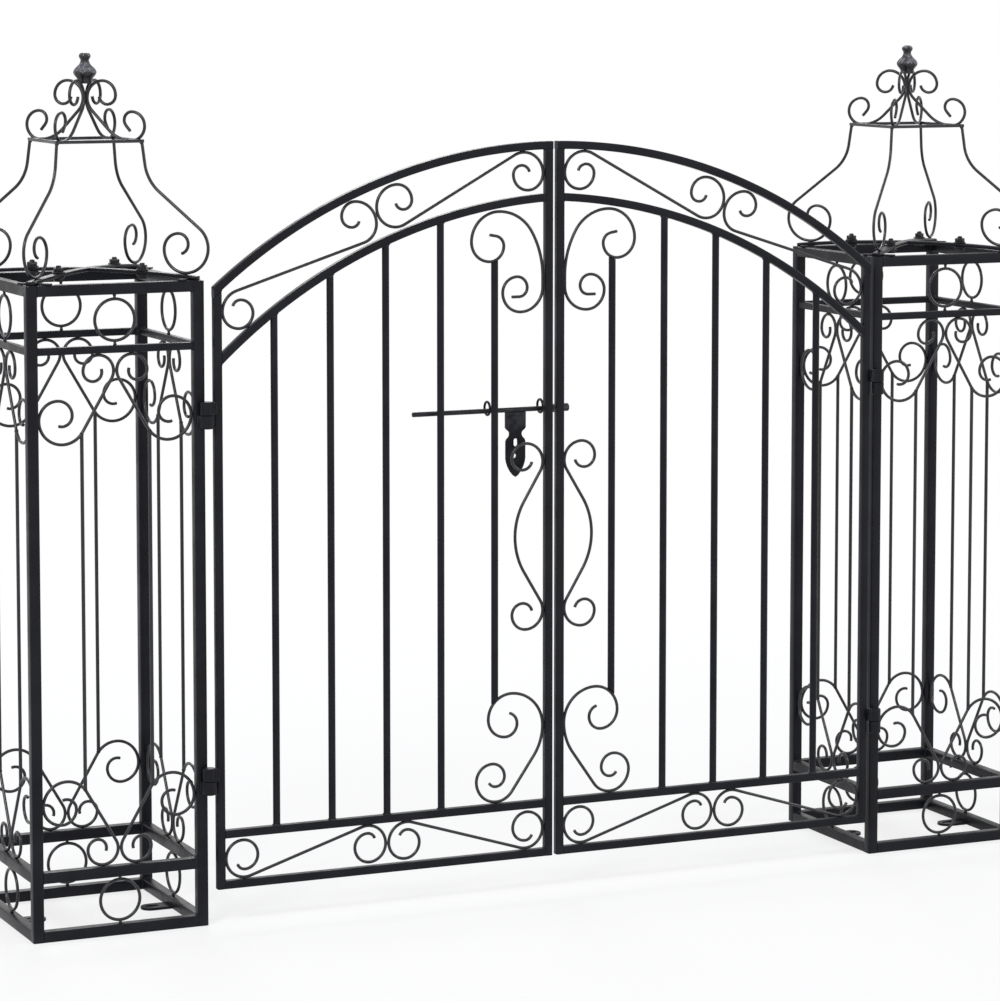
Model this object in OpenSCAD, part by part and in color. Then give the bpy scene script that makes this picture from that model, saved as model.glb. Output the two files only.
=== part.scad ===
/* [Overall] */
// Width over the two towers' posts
overall_w = 1220; // [1000:5:1500]
// Width and depth of one square tower
tower_w = 198; // [160:1:240]
// Height of a tower's post frame
tower_h = 705; // [600:5:860]
// Height of the leaves' tops where they meet
leaf_top = 847; // [760:1:1000]

/* [Towers] */
// Side of a square post, and of the main rails
post_t = 12; // [10:0.5:16]
// Side of the thinner rail near a tower's top
slim_rail_t = 8; // [6:0.5:10]
// Height of the slim rail's underside below the top
slim_rail_drop = 74.5; // [62:0.5:90]
// Height of the low rail's underside
low_rail_z = 64; // [56:1:80]
// Outside diameter of the circles between the rails
circle_d = 48; // [36:1:50]
// Diameter of the thin upright bars in a tower's side
thin_bar_d = 4; // [3:0.5:6]
// Distance of a thin bar from the middle of its side
thin_bar_x = 38; // [30:1:45]

/* [Scrollwork] */
// Diameter of the scroll wire
wire_d = 3.5; // [3:0.5:5]
// Radius of the large curl in a tower's side
big_curl_r = 26; // [20:1:30]
// Radius of the small curl in a tower's side
small_curl_r = 17; // [12:1:20]
// Height between the two curls' centres
curl_rise = 51; // [45:1:70]

/* [Crown] */
// Height of the square ring above the post frame
ring_rise = 148; // [120:1:180]
// Half the side of the square ring
ring_half = 48; // [40:1:56]
// Height of the arch in the crossed flats
cross_rise = 6; // [0:1:12]
// Width of a crossed flat
cross_w = 10; // [8:1:14]
// Thickness of a crossed flat
cross_t = 4; // [3:0.5:6]
// Radius of the large curl at a crown leg's foot
leg_curl_r = 27; // [20:1:30]

/* [Leaves] */
// Side of the leaves' square frame bars
leaf_t = 9; // [8:0.5:12]
// Diameter of the leaves' round bars
bar_d = 8; // [6:0.5:10]
// Gap between the two leaves
leaf_gap = 5; // [4:0.5:8]
// Gap between a post and its leaf
hang_gap = 8.5; // [6:0.5:12]
// How far the leaves stand forward of the posts
leaf_proud = 7.5; // [4:0.5:9]
// Height of the leaves above the ground
leaf_z = 40; // [30:1:60]
// Clear height between the two bottom rails
foot_band = 47; // [40:1:60]
// How far the arch falls from the middle to the hinge side
arch_fall = 149; // [110:1:170]
// Height between the two arches at the hinge side
arch_drop = 57; // [52:1:66]
// Sideways shift of the lower arch's centre past the middle
arch_shift = 26; // [0:1:30]

/* [Hinges] */
// Diameter of a hinge barrel
barrel_d = 14.5; // [13:0.5:16]
// Height of a whole hinge barrel
barrel_h = 29; // [24:1:36]
// Diameter of the hinge pin
pin_d = 7; // [5:0.5:8]
// Height of the middle of the lower hinge
low_hinge_z = 161; // [140:1:200]
// Height of the middle of the upper hinge
top_hinge_z = 560; // [480:1:600]

/* [Bolt] */
// Diameter of the sliding rod
rod_d = 5.5; // [5:0.5:6]
// Height of the rod
rod_z = 547; // [500:1:570]
// Length of the rod
rod_len = 166; // [150:1:180]
// How far the rod is thrown into its keeper
throw = 14; // [8:1:15]

/* [Hidden] */
$fn = 48;
arch_fn = 360;
touch = 0.1;
pin_play = 0.08;
paint = [0.14, 0.145, 0.165];
paint_light = [0.22, 0.225, 0.25];

// Frame: X along the gate, the front faces -Y, the ground is z = 0
tower_x = (overall_w - tower_w) / 2;
barrel_stand = 1;
leg_out_s = 145;
leg_reach = leg_out_s / sqrt(2) + wire_d / 2;
back_reach = tower_w / 2 + leg_reach;
front_reach = barrel_d + barrel_stand;
front_y = (front_reach - back_reach) / 2;
tower_y = front_y + tower_w / 2;

// Leaf, in the left half of the gate
post_face_x = -overall_w / 2 + tower_w;
leaf_out_x = post_face_x + hang_gap;
leaf_in_x = -leaf_gap / 2;
stile_out_x = leaf_out_x + leaf_t;
stile_in_x = leaf_in_x - leaf_t;
leaf_y = front_y - leaf_proud + leaf_t / 2;
leaf_back_y = leaf_y + leaf_t / 2;
bay = (leaf_in_x - leaf_out_x - leaf_t) / 6;
bay_k = bay / 65;
foot_z = leaf_z + leaf_t;
mid_rail_z = foot_z + foot_band;
bars_z = mid_rail_z + leaf_t;
arch_r = (pow(leaf_out_x, 2) + pow(arch_fall, 2)) / (2 * arch_fall);
arch_z = leaf_top - arch_r;
low_arch_z = arch_z - arch_drop;

// Hinges
hinge_x = post_face_x - 1;
hinge_y = front_y - barrel_stand - barrel_d / 2;

// ---- Wire bent in a plane: a path of [radius, angle] bends and [0, length] straights ----

// Each piece starts a little inside the one before it and is a trifle thinner
lap = 0.3;
thinner = 0.05;

function dir(a) = [cos(a), sin(a)];
function side_of(s) = s[1] > 0 ? 90 : -90;
function hub(p, h, s) = p + s[0] * dir(h + side_of(s));
function next_point(p, h, s) =
    s[0] == 0 ? p + s[1] * dir(h) : hub(p, h, s) - s[0] * dir(h + side_of(s) + s[1]);
function next_heading(h, s) = s[0] == 0 ? h : h + s[1];

module straight(p, h, length, d)
    translate([p[0], p[1], 0]) rotate([0, 90, h]) translate([0, 0, -lap]) cylinder(h = length + lap, d = d);

module bend(p, h, s, d) {
    c = hub(p, h, s);
    back = lap / s[0] * 180 / PI;
    translate([c[0], c[1], 0]) rotate(s[1] > 0 ? h - 90 - back : h + 90 + s[1])
        rotate_extrude(angle = abs(s[1]) + back) translate([s[0], 0]) circle(d = d);
}

// A whole wire from point p, heading h degrees
module wire(p, h, path, d = wire_d, i = 0) {
    if (i < len(path)) {
        s = path[i];
        if (s[0] == 0) straight(p, h, s[1], d);
        else bend(p, h, s, d);
        wire(next_point(p, h, s), next_heading(h, s), path, d - thinner, i + 1);
    }
}

// The inner turns of a curl of radius r: a quarter turn for each share of r, and last degrees at the end
function inner_turns(r, shares, last) =
    [for (i = [0:len(shares) - 1]) [r * shares[i], i < len(shares) - 1 ? 90 : last]];
function curl(r, shares, last) = concat([[r, 90]], inner_turns(r, shares, last));
function to_side(side, path) = [for (s = path) [s[0], s[0] == 0 ? s[1] : side * s[1]]];

// Heading of the wire that leaves circle 1 and joins circle 2; radii are signed, left is positive
function tangent(c1, r1, c2, r2) =
    atan2(c2[1] - c1[1], c2[0] - c1[0]) - asin((r2 - r1) / norm(c2 - c1));
function rim(c, r, h) = c - r * dir(h + 90);

// Two curls joined by a straight wire that is tangent to both. A curl's first bend goes on
// from the straight for arc degrees more than a wire along X would need, then come its turns.
module scroll(c1, r1, arc1, turns1, c2, r2, arc2, turns2) {
    h = tangent(c1, r1, c2, r2);
    p1 = rim(c1, r1, h);
    p2 = rim(c2, r2, h);
    straight(p1, h, norm(p2 - p1), wire_d);
    wire(p2, h, to_side(sign(r2), concat([[abs(r2), arc2 - sign(r2) * h]], turns2)), wire_d - thinner);
    wire(p1, h + 180, to_side(-sign(r1), concat([[abs(r1), arc1 + sign(r1) * h]], turns1)), wire_d - thinner);
}

// Stands a drawing in the XY plane upright, so that its Y becomes Z
module upright() rotate([90, 0, 0]) children();

// ---- Towers, each in its own frame about its centre line ----

rail_off = (tower_w - post_t) / 2;
rail_len = tower_w - 2 * post_t;
slim_rail_z = tower_h - slim_rail_drop;

module four_sides() for (a = [0:90:270]) rotate(a) children();

module rail(z, t) translate([-rail_len / 2, -rail_off - t / 2, z]) cube([rail_len, t, t]);

module tower_posts() color(paint)
    for (x = [-rail_off, rail_off], y = [-rail_off, rail_off])
        translate([x - post_t / 2, y - post_t / 2, 0]) cube([post_t, post_t, tower_h]);

module tower_top_rails() color(paint) four_sides() rail(tower_h - post_t, post_t);

module tower_inner_rails() color(paint) {
    four_sides() rail(slim_rail_z, slim_rail_t);
    four_sides() rail(low_rail_z, post_t);
}

// Ground rails, with a slotted plate inside each of the two side rails
tab_len = 32;
tab_w = 22;
tab_t = 3;
tab_slot_l = 16;
tab_slot_w = 6.5;
tab_slot_off = 13;
module tower_ground_rails() color(paint) {
    four_sides() rail(0, post_t);
    for (a = [0, 180]) rotate(a) ground_tab();
}
module ground_tab() translate([tower_w / 2 - post_t, 0, 0]) difference() {
    union() {
        translate([-tab_len + tab_w / 2, -tab_w / 2, 0]) cube([tab_len - tab_w / 2, tab_w, tab_t]);
        translate([-tab_len + tab_w / 2, 0, 0]) cylinder(h = tab_t, d = tab_w);
    }
    for (x = [-1, 1])
        translate([-tab_len + tab_slot_off + x * (tab_slot_l - tab_slot_w) / 2, 0, -1])
            cylinder(h = tab_t + 2, d = tab_slot_w);
    translate([-tab_len + tab_slot_off - (tab_slot_l - tab_slot_w) / 2, -tab_slot_w / 2, -1])
        cube([tab_slot_l - tab_slot_w, tab_slot_w, tab_t + 2]);
}

// Scroll pair hanging from height z, with dir 1 downwards or -1 upwards
small_x = touch / 2 + wire_d / 2 + small_curl_r;
big_x = rail_len / 2 - touch - wire_d / 2 - big_curl_r;
module side_scroll() scroll(
    [small_x, -touch - wire_d / 2 - small_curl_r], small_curl_r, 270,
    inner_turns(small_curl_r, [0.65, 0.58], 110),
    [big_x, -big_drop], big_curl_r, 90,
    inner_turns(big_curl_r, [0.8, 0.62, 0.44], 110)
);
big_drop = touch + wire_d / 2 + small_curl_r + curl_rise;
bar_reach = big_drop + sqrt(pow(big_curl_r, 2) - pow(big_x - thin_bar_x, 2));
module scroll_pair() {
    side_scroll();
    mirror([1, 0, 0]) side_scroll();
}
module side_circle(z0, z1) translate([0, (z0 + z1) / 2, 0]) {
    rotate_extrude() translate([(circle_d - wire_d) / 2, 0]) circle(d = wire_d);
    for (a = [90, -90])
        straight((circle_d - wire_d) / 2 * dir(a), a, (z1 - z0 - circle_d + wire_d) / 2 - touch, wire_d - 0.3);
}
panel_low = low_rail_z + post_t;
module tower_panel(side) color(paint) rotate(side) translate([0, -rail_off, 0]) upright() {
    translate([0, slim_rail_z]) scroll_pair();
    translate([0, panel_low]) mirror([0, 1, 0]) scroll_pair();
    for (x = [-thin_bar_x, thin_bar_x])
        straight([x, panel_low + bar_reach], 90, slim_rail_z - panel_low - 2 * bar_reach, thin_bar_d);
    side_circle(slim_rail_z + slim_rail_t, tower_h - post_t);
    side_circle(post_t, low_rail_z);
}

// ---- Crown: everything lies in the two diagonal planes of the tower ----

cross_s = 133;
cross_r = (pow(cross_s, 2) + pow(cross_rise, 2)) / (2 * cross_rise);
function cross_top(s) = tower_h + cross_rise - cross_r + sqrt(pow(cross_r, 2) - s * s) + cross_t;
ring_z = tower_h + ring_rise;
ring_s = ring_half * sqrt(2);
leg_s = leg_out_s - leg_curl_r;
leg_z = cross_top(leg_s) + touch + wire_d / 2 + leg_curl_r;
neck_r = 46;
neck_turn = 8;

module diagonals(n = 4) for (a = [45:360 / n:404]) rotate(a) upright() children();

bolt_s = cross_s / 2;
foot_s = 121;
foot_l = 38;
foot_w = 8;
foot_t = 2;
module crown_arms() intersection() {
    union() for (a = [45, 135]) rotate(a) upright()
        translate([0, tower_h + cross_rise - cross_r, -cross_w / 2]) difference() {
            cylinder(h = cross_w, r = cross_r + cross_t, $fn = arch_fn);
            translate([0, 0, -1]) cylinder(h = cross_w + 2, r = cross_r, $fn = arch_fn);
        }
    translate([0, 0, tower_h]) rotate(45) union() {
        translate([-cross_s, -cross_w, 0]) cube([2 * cross_s, 2 * cross_w, 3 * cross_rise]);
        translate([-cross_w, -cross_s, 0]) cube([2 * cross_w, 2 * cross_s, 3 * cross_rise]);
    }
}
// A bolt through the arm, with a washer and a nut on top and a head below, from the arm's top face
washer_d = 14;
washer_t = 1.5;
nut_af = 10;
nut_t = 4.5;
head_t = 3.5;
stud_d = 6;
stud_out = 2.5;
module cross_bolt() {
    grip = cross_t + 2 * washer_t;
    translate([0, 0, washer_t - grip]) cylinder(h = grip, d = washer_d);
    translate([0, 0, washer_t - grip - head_t]) cylinder(h = grip + head_t + nut_t, d = nut_af / cos(30), $fn = 6);
    cylinder(h = washer_t + nut_t + stud_out, d = stud_d, $fn = 24);
}
module crown_cross() color(paint) {
    crown_arms();
    for (a = [45:90:315]) rotate(a) {
        translate([foot_s - foot_w / 2, -foot_l / 2, tower_h]) cube([foot_w, foot_l, foot_t]);
        translate([bolt_s, 0, cross_top(bolt_s)]) cross_bolt();
    }
}

leg_start = [ring_s - 0.6, ring_z];
leg_lead = 25;
neck_hub = leg_start + leg_lead * dir(-90 + neck_turn) + neck_r * dir(neck_turn);
module crown_leg() {
    foot = [leg_s, leg_z];
    h = tangent(neck_hub, neck_r, foot, -leg_curl_r);
    gap = norm(rim(foot, -leg_curl_r, h) - rim(neck_hub, neck_r, h));
    wire(leg_start, -90 + neck_turn, concat(
        [[0, leg_lead], [neck_r, h + 90 - neck_turn], [0, gap], [leg_curl_r, -180 - h]],
        to_side(-1, inner_turns(leg_curl_r, [0.93, 0.64, 0.42, 0.4], 75))
    ));
}
module crown_cage() color(paint) {
    diagonals() crown_leg();
    translate([0, 0, ring_z - wire_d / 2]) linear_extrude(wire_d) difference() {
        square(2 * ring_half + wire_d, center = true);
        square(2 * ring_half - wire_d, center = true);
    }
}

// Four wires that lean on the ring's corners, meet at the axis and curl out under the finial
perch_r = 16;
swell_r = 38;
rise_r = 20;
top_curl_r = 18.5;
meet_s = (wire_d + touch) / sqrt(2);
meet_z = ring_z + 45.8;
ring_inner_s = ring_s - wire_d / sqrt(2);
perch_s = ring_inner_s - 10.5;
perch_z = ring_z + wire_d / 2 + sqrt(pow(perch_r + wire_d / 2 + touch / 2, 2) - pow(ring_inner_s - perch_s, 2));
module crown_scroll() {
    rise = [meet_s + rise_r, meet_z];
    swell = [perch_s, perch_z - perch_r + swell_r];
    h = tangent(rise, rise_r, swell, swell_r);
    gap = norm(rim(swell, swell_r, h) - rim(rise, rise_r, h));
    wire([meet_s, meet_z], 90, to_side(-1, curl(top_curl_r, [0.84, 0.54, 0.54], 80)));
    wire([meet_s, meet_z], -90, concat(
        [[rise_r, 90 + h], [0, gap], [swell_r, -h]], curl(perch_r, [0.95, 0.57], 130), [[0, 8]]
    ), wire_d - thinner);
}
module crown_scrolls() color(paint) diagonals() crown_scroll();

// A turned finial that sits on the four wires, with flutes round its shoulder
finial_foot_r = 7.5;
finial_z = meet_z + sqrt(pow(top_curl_r + wire_d / 2 + touch, 2) - pow(meet_s + top_curl_r - finial_foot_r, 2));
flutes = 12;
module finial() color(paint) translate([0, 0, finial_z]) difference() {
    rotate_extrude() polygon([
        [0, 0], [finial_foot_r, 0], [7.8, 3.5], [9.2, 6.2], [11.3, 8.6], [12.6, 11.4], [12.2, 13.8], [9.9, 17],
        [6.6, 20], [4.9, 23], [4.6, 25.3], [5.2, 26.5], [6.4, 28.5], [6.4, 30.5], [5.2, 32.4], [3, 33.4],
        [0, 33.5]
    ]);
    for (i = [1:flutes]) rotate((i + 0.5) * 360 / flutes) translate([14, 0, 12]) rotate([0, -38, 0])
        cylinder(h = 16, r = 1.3, $fn = 12);
}

// ---- Hinges: the lower half of each barrel is the post's and holds the pin ----

hinge_heights = [low_hinge_z, top_hinge_z];
half_play = 0.3;
pin_len = barrel_h / 2 - 4;
module hinge_pins() color(paint) for (z = hinge_heights) translate([hinge_x, hinge_y, z]) {
    translate([0, 0, -barrel_h / 2]) cylinder(h = barrel_h / 2, d = barrel_d);
    cylinder(h = pin_len, d = pin_d);
    translate([-barrel_d / 2, 0, -barrel_h / 2])
        cube([barrel_d / 2 + 1, barrel_d / 2 + barrel_stand, barrel_h / 2]);
}
lug_t = 5;
module leaf_hinges() color(paint) for (z = hinge_heights)
    translate([hinge_x, hinge_y, z + half_play]) difference() {
        union() {
            cylinder(h = barrel_h / 2, d = barrel_d);
            translate([0, -barrel_d / 2 + 2.5, 0]) cube([leaf_out_x - hinge_x, lug_t + 2, barrel_h / 2]);
        }
        translate([0, 0, -1]) cylinder(h = pin_len + 2, d = pin_d + 2 * pin_play);
    }

// ---- Leaves, drawn as the left one ----

module arch_bar(x, z, x0, x1) upright() translate([0, 0, -leaf_y - leaf_t / 2]) intersection() {
    translate([x, z, 0]) difference() {
        cylinder(h = leaf_t, r = arch_r, $fn = arch_fn);
        translate([0, 0, -1]) cylinder(h = leaf_t + 2, r = arch_r - leaf_t, $fn = arch_fn);
    }
    translate([x0, z + arch_r / 4, 0]) cube([x1 - x0, arch_r, leaf_t]);
}
module leaf_arches() color(paint) {
    arch_bar(0, arch_z, leaf_out_x, leaf_in_x);
    arch_bar(arch_shift, low_arch_z, stile_out_x, stile_in_x);
}

module stile(x) intersection() {
    translate([x, leaf_y - leaf_t / 2, leaf_z]) cube([leaf_t, leaf_t, leaf_top]);
    translate([0, leaf_y - leaf_t, arch_z]) rotate([-90, 0, 0])
        cylinder(h = 2 * leaf_t, r = arch_r - leaf_t, $fn = arch_fn);
}
module leaf_frame() color(paint) {
    stile(leaf_out_x);
    stile(stile_in_x);
    for (z = [leaf_z, mid_rail_z])
        translate([stile_out_x, leaf_y - leaf_t / 2, z]) cube([stile_in_x - stile_out_x, leaf_t, leaf_t]);
}

function bar_x(i) = leaf_out_x + leaf_t / 2 + i * bay;
module leaf_bar(x, z0) intersection() {
    translate([x, leaf_y, z0]) cylinder(h = leaf_top, d = bar_d);
    translate([arch_shift, leaf_y - leaf_t, low_arch_z]) rotate([-90, 0, 0])
        cylinder(h = 2 * leaf_t, r = arch_r - leaf_t, $fn = arch_fn);
}

// The corner scrolls beside the inner stile set the short bar's ends
side_x = stile_in_x - touch - wire_d / 2;
low_mid = [arch_shift, low_arch_z];
function height_at(x, mid, r) = mid[1] + sqrt(r * r - pow(x - mid[0], 2));
top_scroll_r = 33 * bay_k;
top_scroll_x = side_x - 53.5 * bay_k;
top_scroll_z = height_at(top_scroll_x - 8, low_mid, arch_r - leaf_t) - wire_d / 2 - 0.8;
top_shares = [0.667, 0.515, 0.342];
low_scroll_z = 190;
low_scroll_r = 38.5 * bay_k;
low_shares = [0.727, 0.538, 0.377, 0.325];

// The short bar's ends are shaped to the turns of the two scrolls that they are welded to
upper_turn_r = top_scroll_r * top_shares[1];
upper_turn = [top_scroll_x, top_scroll_z]
    - top_scroll_r * [1 - top_shares[0], 1 + top_shares[0] - top_shares[1]];
lower_turn_r = low_scroll_r * low_shares[0];
lower_turn = [side_x - low_scroll_r, low_scroll_z + low_scroll_r - lower_turn_r];
module short_bar() difference() {
    translate([bar_x(5), leaf_y, lower_turn[1]]) cylinder(h = upper_turn[1] - lower_turn[1], d = bar_d);
    for (c = [[upper_turn, upper_turn_r], [lower_turn, lower_turn_r]])
        translate([c[0][0], leaf_y - bar_d, c[0][1]]) rotate([-90, 0, 0])
            cylinder(h = 2 * bar_d, r = c[1] + wire_d / 2 + touch, $fn = 180);
}
module leaf_bars() color(paint) {
    for (i = [1:4]) leaf_bar(bar_x(i), bars_z);
    short_bar();
}

module in_leaf() translate([0, leaf_y, 0]) upright() children();

// Curls between the arches: they rest on the lower arch or hang under the upper one
// Each curl's radius and the shares of its inner turns
arch_curls = [[23.5, [0.79, 0.7, 0.62, 0.38]], [21, [1.19, 0.76, 0.58, 0.42]],
    [22.4, [1.08, 0.78, 0.45, 0.42]], [23.5, [0.79, 0.75, 0.43, 0.42]]];
top_mid = [0, arch_z];
function curl_r(i) = arch_curls[i][0];
function turn_r(i) = curl_r(i) * arch_curls[i][1][0];
function arch_turns(i) = inner_turns(curl_r(i), arch_curls[i][1], 75);
function curl_room(r) = r + wire_d / 2 + touch;
function hung(x, r) = [x, height_at(x, top_mid, arch_r - leaf_t - curl_room(r))];
function seated(x, r) = [x, height_at(x, low_mid, arch_r + curl_room(r))];
first_curl = [stile_out_x + curl_room(curl_r(0)),
    seated(stile_out_x + curl_room(curl_r(0)) - curl_r(0) + turn_r(0), turn_r(0))[1]];
second_turn = hung(bar_x(3) - 35.3 * bay_k, turn_r(1));
third_curl = second_turn + (turn_r(1) + curl_r(2) + wire_d + touch) * dir(21);
module leaf_arch_scrolls() color(paint) in_leaf() {
    scroll(first_curl, -curl_r(0), 90, arch_turns(0),
        second_turn + [turn_r(1) - curl_r(1), 0], curl_r(1), 90, arch_turns(1));
    scroll(third_curl, curl_r(2), 90, arch_turns(2),
        hung(stile_in_x - curl_room(curl_r(3)), curl_r(3)), -curl_r(3), 90, arch_turns(3));
}

foot_r = (foot_band - wire_d) / 2 - touch;
foot_mid = foot_z + foot_band / 2;
foot_room = foot_r + wire_d / 2 + touch;
foot_turns = inner_turns(foot_r, [0.9, 0.8, 0.7, 0.42], 70);
module foot_scroll() scroll(
    [stile_out_x + foot_room, foot_mid], foot_r, 90, foot_turns,
    [(stile_out_x + stile_in_x) / 2 - foot_room, foot_mid], -foot_r, 90, foot_turns
);
module leaf_foot_scrolls() color(paint) in_leaf() {
    foot_scroll();
    translate([stile_out_x + stile_in_x, 0]) mirror([1, 0, 0]) foot_scroll();
}

// The bow in the middle of the inner stile
ogee_z = 405;
bow_r = 78;
bow_x = side_x - 34 + bow_r;
end_r = 21;
end_rise = 84;
module ogee() {
    c = [side_x - end_r, ogee_z + end_rise];
    h = tangent([bow_x, ogee_z], -bow_r, c, end_r);
    p = rim([bow_x, ogee_z], -bow_r, h);
    q = rim(c, end_r, h);
    low = [p[0], 2 * ogee_z - p[1]];
    bend(low, 180 - h, [bow_r, 2 * h - 180], wire_d);
    for (up = [0, 1]) translate([0, up ? 0 : 2 * ogee_z]) mirror([0, up ? 0 : 1, 0])
        wire(p, h, concat([[0, norm(q - p)], [end_r, 180 - h]], inner_turns(end_r, [0.8, 0.62, 0.57], 75)),
            wire_d - thinner);
}
low_curl_r = 24;
low_bow_r = 60;
low_lean = 35;
// The straight run ends where the low curl comes to rest on the middle rail
low_rest = bars_z + touch + wire_d / 2 + low_curl_r * (1 - sin(low_lean));
low_run = (low_scroll_z - low_bow_r * sin(low_lean) - low_rest) / cos(low_lean);
module leaf_side_scrolls() color(paint) in_leaf() {
    wire([top_scroll_x, top_scroll_z], 0, concat(
        [[46 * bay_k, -60], [100 * bay_k, -30], [0, 12]],
        to_side(-1, concat(curl(27, [0.81, 0.65, 0.46, 0.37], 90), [[0, 9]]))
    ));
    wire([top_scroll_x, top_scroll_z], 180, concat(curl(top_scroll_r, top_shares, 80), [[0, 8]]), wire_d - thinner);
    ogee();
    wire([side_x, low_scroll_z], 90, curl(low_scroll_r, low_shares, 75));
    wire([side_x, low_scroll_z], -90, to_side(-1, concat(
        [[low_bow_r, low_lean], [0, low_run], [low_curl_r, 180 - low_lean]],
        inner_turns(low_curl_r, [0.81, 0.63, 0.46, 0.38], 60)
    )), wire_d - thinner);
}

// ---- Sliding bolt behind the leaves ----

eye_wire = 2.8;
eye_r = 7.4;
rod_y = leaf_back_y + touch + eye_r + eye_wire / 2;
eye_z = rod_z + eye_r - eye_wire / 2 - rod_d / 2 - 0.3;
eye_places = [bar_x(5) - 3, stile_in_x + 1];
module bolt_eyes() color(paint) for (x = eye_places)
    translate([x, rod_y, eye_z]) rotate([0, 90, 0])
        rotate_extrude() translate([eye_r, 0]) circle(d = eye_wire);

rod_tip = leaf_in_x + 2.5;
module bolt_rod() color(paint_light) translate([rod_tip - rod_len, rod_y, rod_z]) rotate([0, 90, 0])
    cylinder(h = rod_len, d = rod_d);

keeper_d = 9;
keeper_len = 21.5;
keeper_play = 0.75;
module bolt_keeper() color(paint_light) translate([leaf_gap / 2, rod_y, rod_z]) difference() {
    union() {
        rotate([0, 90, 0]) cylinder(h = keeper_len, d = keeper_d);
        translate([0, leaf_back_y - rod_y, -keeper_d / 2]) cube([leaf_t, rod_y - leaf_back_y, keeper_d]);
    }
    translate([-1, 0, 0]) rotate([0, 90, 0]) cylinder(h = keeper_len - 1.5, d = rod_d + 2 * keeper_play);
}

plate_x = -41;
plate_w = 25;
plate_t = 3;
module bolt_plate() color(paint) translate([plate_x, rod_y, rod_z - rod_d / 2]) rotate([90, 0, 0])
    translate([0, 0, -plate_t / 2]) linear_extrude(plate_t) difference() {
        polygon([
            [-12.5, 0], [12.5, 0], [12.5, -17], [7.5, -22], [7.5, -26], [12, -32], [12, -52], [8, -65], [0, -73],
            [-8, -65], [-12, -52], [-12, -32], [-7.5, -26], [-7.5, -22], [-12.5, -17]
        ]);
        translate([0, -36]) circle(d = 5);
        translate([-2.5, -36]) square([5, 4]);
        translate([0, -32]) circle(d = 5);
        translate([-1.5, -49]) circle(d = 5);
    }

// ---- Placing ----

module left_tower() translate([-tower_x, tower_y, 0]) children();
module right_half() mirror([1, 0, 0]) children();

left_tower() tower_posts();  // left_tower_posts
left_tower() tower_top_rails();  // left_tower_top_rails
left_tower() tower_inner_rails();  // left_tower_inner_rails
left_tower() tower_ground_rails();  // left_tower_ground_rails
left_tower() tower_panel(0);  // left_tower_front_panel
left_tower() tower_panel(180);  // left_tower_back_panel
left_tower() tower_panel(270);  // left_tower_outer_panel
left_tower() tower_panel(90);  // left_tower_inner_panel
left_tower() crown_cross();  // left_crown_cross
left_tower() crown_cage();  // left_crown_cage
left_tower() crown_scrolls();  // left_crown_scrolls
left_tower() finial();  // left_finial
hinge_pins();  // left_hinge_pins
right_half() left_tower() tower_posts();  // right_tower_posts
right_half() left_tower() tower_top_rails();  // right_tower_top_rails
right_half() left_tower() tower_inner_rails();  // right_tower_inner_rails
right_half() left_tower() tower_ground_rails();  // right_tower_ground_rails
right_half() left_tower() tower_panel(0);  // right_tower_front_panel
right_half() left_tower() tower_panel(180);  // right_tower_back_panel
right_half() left_tower() tower_panel(270);  // right_tower_outer_panel
right_half() left_tower() tower_panel(90);  // right_tower_inner_panel
right_half() left_tower() crown_cross();  // right_crown_cross
right_half() left_tower() crown_cage();  // right_crown_cage
right_half() left_tower() crown_scrolls();  // right_crown_scrolls
right_half() left_tower() finial();  // right_finial
right_half() hinge_pins();  // right_hinge_pins
leaf_frame();  // left_leaf_frame
leaf_arches();  // left_leaf_arches
leaf_bars();  // left_leaf_bars
leaf_arch_scrolls();  // left_leaf_arch_scrolls
leaf_foot_scrolls();  // left_leaf_foot_scrolls
leaf_side_scrolls();  // left_leaf_side_scrolls
leaf_hinges();  // left_leaf_hinges
bolt_eyes();
right_half() leaf_frame();  // right_leaf_frame
right_half() leaf_arches();  // right_leaf_arches
right_half() leaf_bars();  // right_leaf_bars
right_half() leaf_arch_scrolls();  // right_leaf_arch_scrolls
right_half() leaf_foot_scrolls();  // right_leaf_foot_scrolls
right_half() leaf_side_scrolls();  // right_leaf_side_scrolls
right_half() leaf_hinges();  // right_leaf_hinges
bolt_keeper();
bolt_rod();
bolt_plate();
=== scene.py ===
# A painted steel garden gate: two arched leaves between two openwork towers.
import itertools
import math
import random

import bmesh
import bpy
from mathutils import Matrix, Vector, noise


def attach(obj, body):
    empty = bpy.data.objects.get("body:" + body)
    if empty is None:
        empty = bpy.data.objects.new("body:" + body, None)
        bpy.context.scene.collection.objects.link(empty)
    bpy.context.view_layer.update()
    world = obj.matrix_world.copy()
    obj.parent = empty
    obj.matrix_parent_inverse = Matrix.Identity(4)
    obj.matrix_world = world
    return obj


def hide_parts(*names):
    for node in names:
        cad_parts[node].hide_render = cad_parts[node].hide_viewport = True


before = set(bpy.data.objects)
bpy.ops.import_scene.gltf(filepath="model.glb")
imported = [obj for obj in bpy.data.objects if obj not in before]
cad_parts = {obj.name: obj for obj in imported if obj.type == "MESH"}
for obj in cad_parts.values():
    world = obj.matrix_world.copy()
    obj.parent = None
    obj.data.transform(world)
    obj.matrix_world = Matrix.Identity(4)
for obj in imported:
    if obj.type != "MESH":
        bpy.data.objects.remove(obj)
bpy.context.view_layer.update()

mm = 0.001

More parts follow.
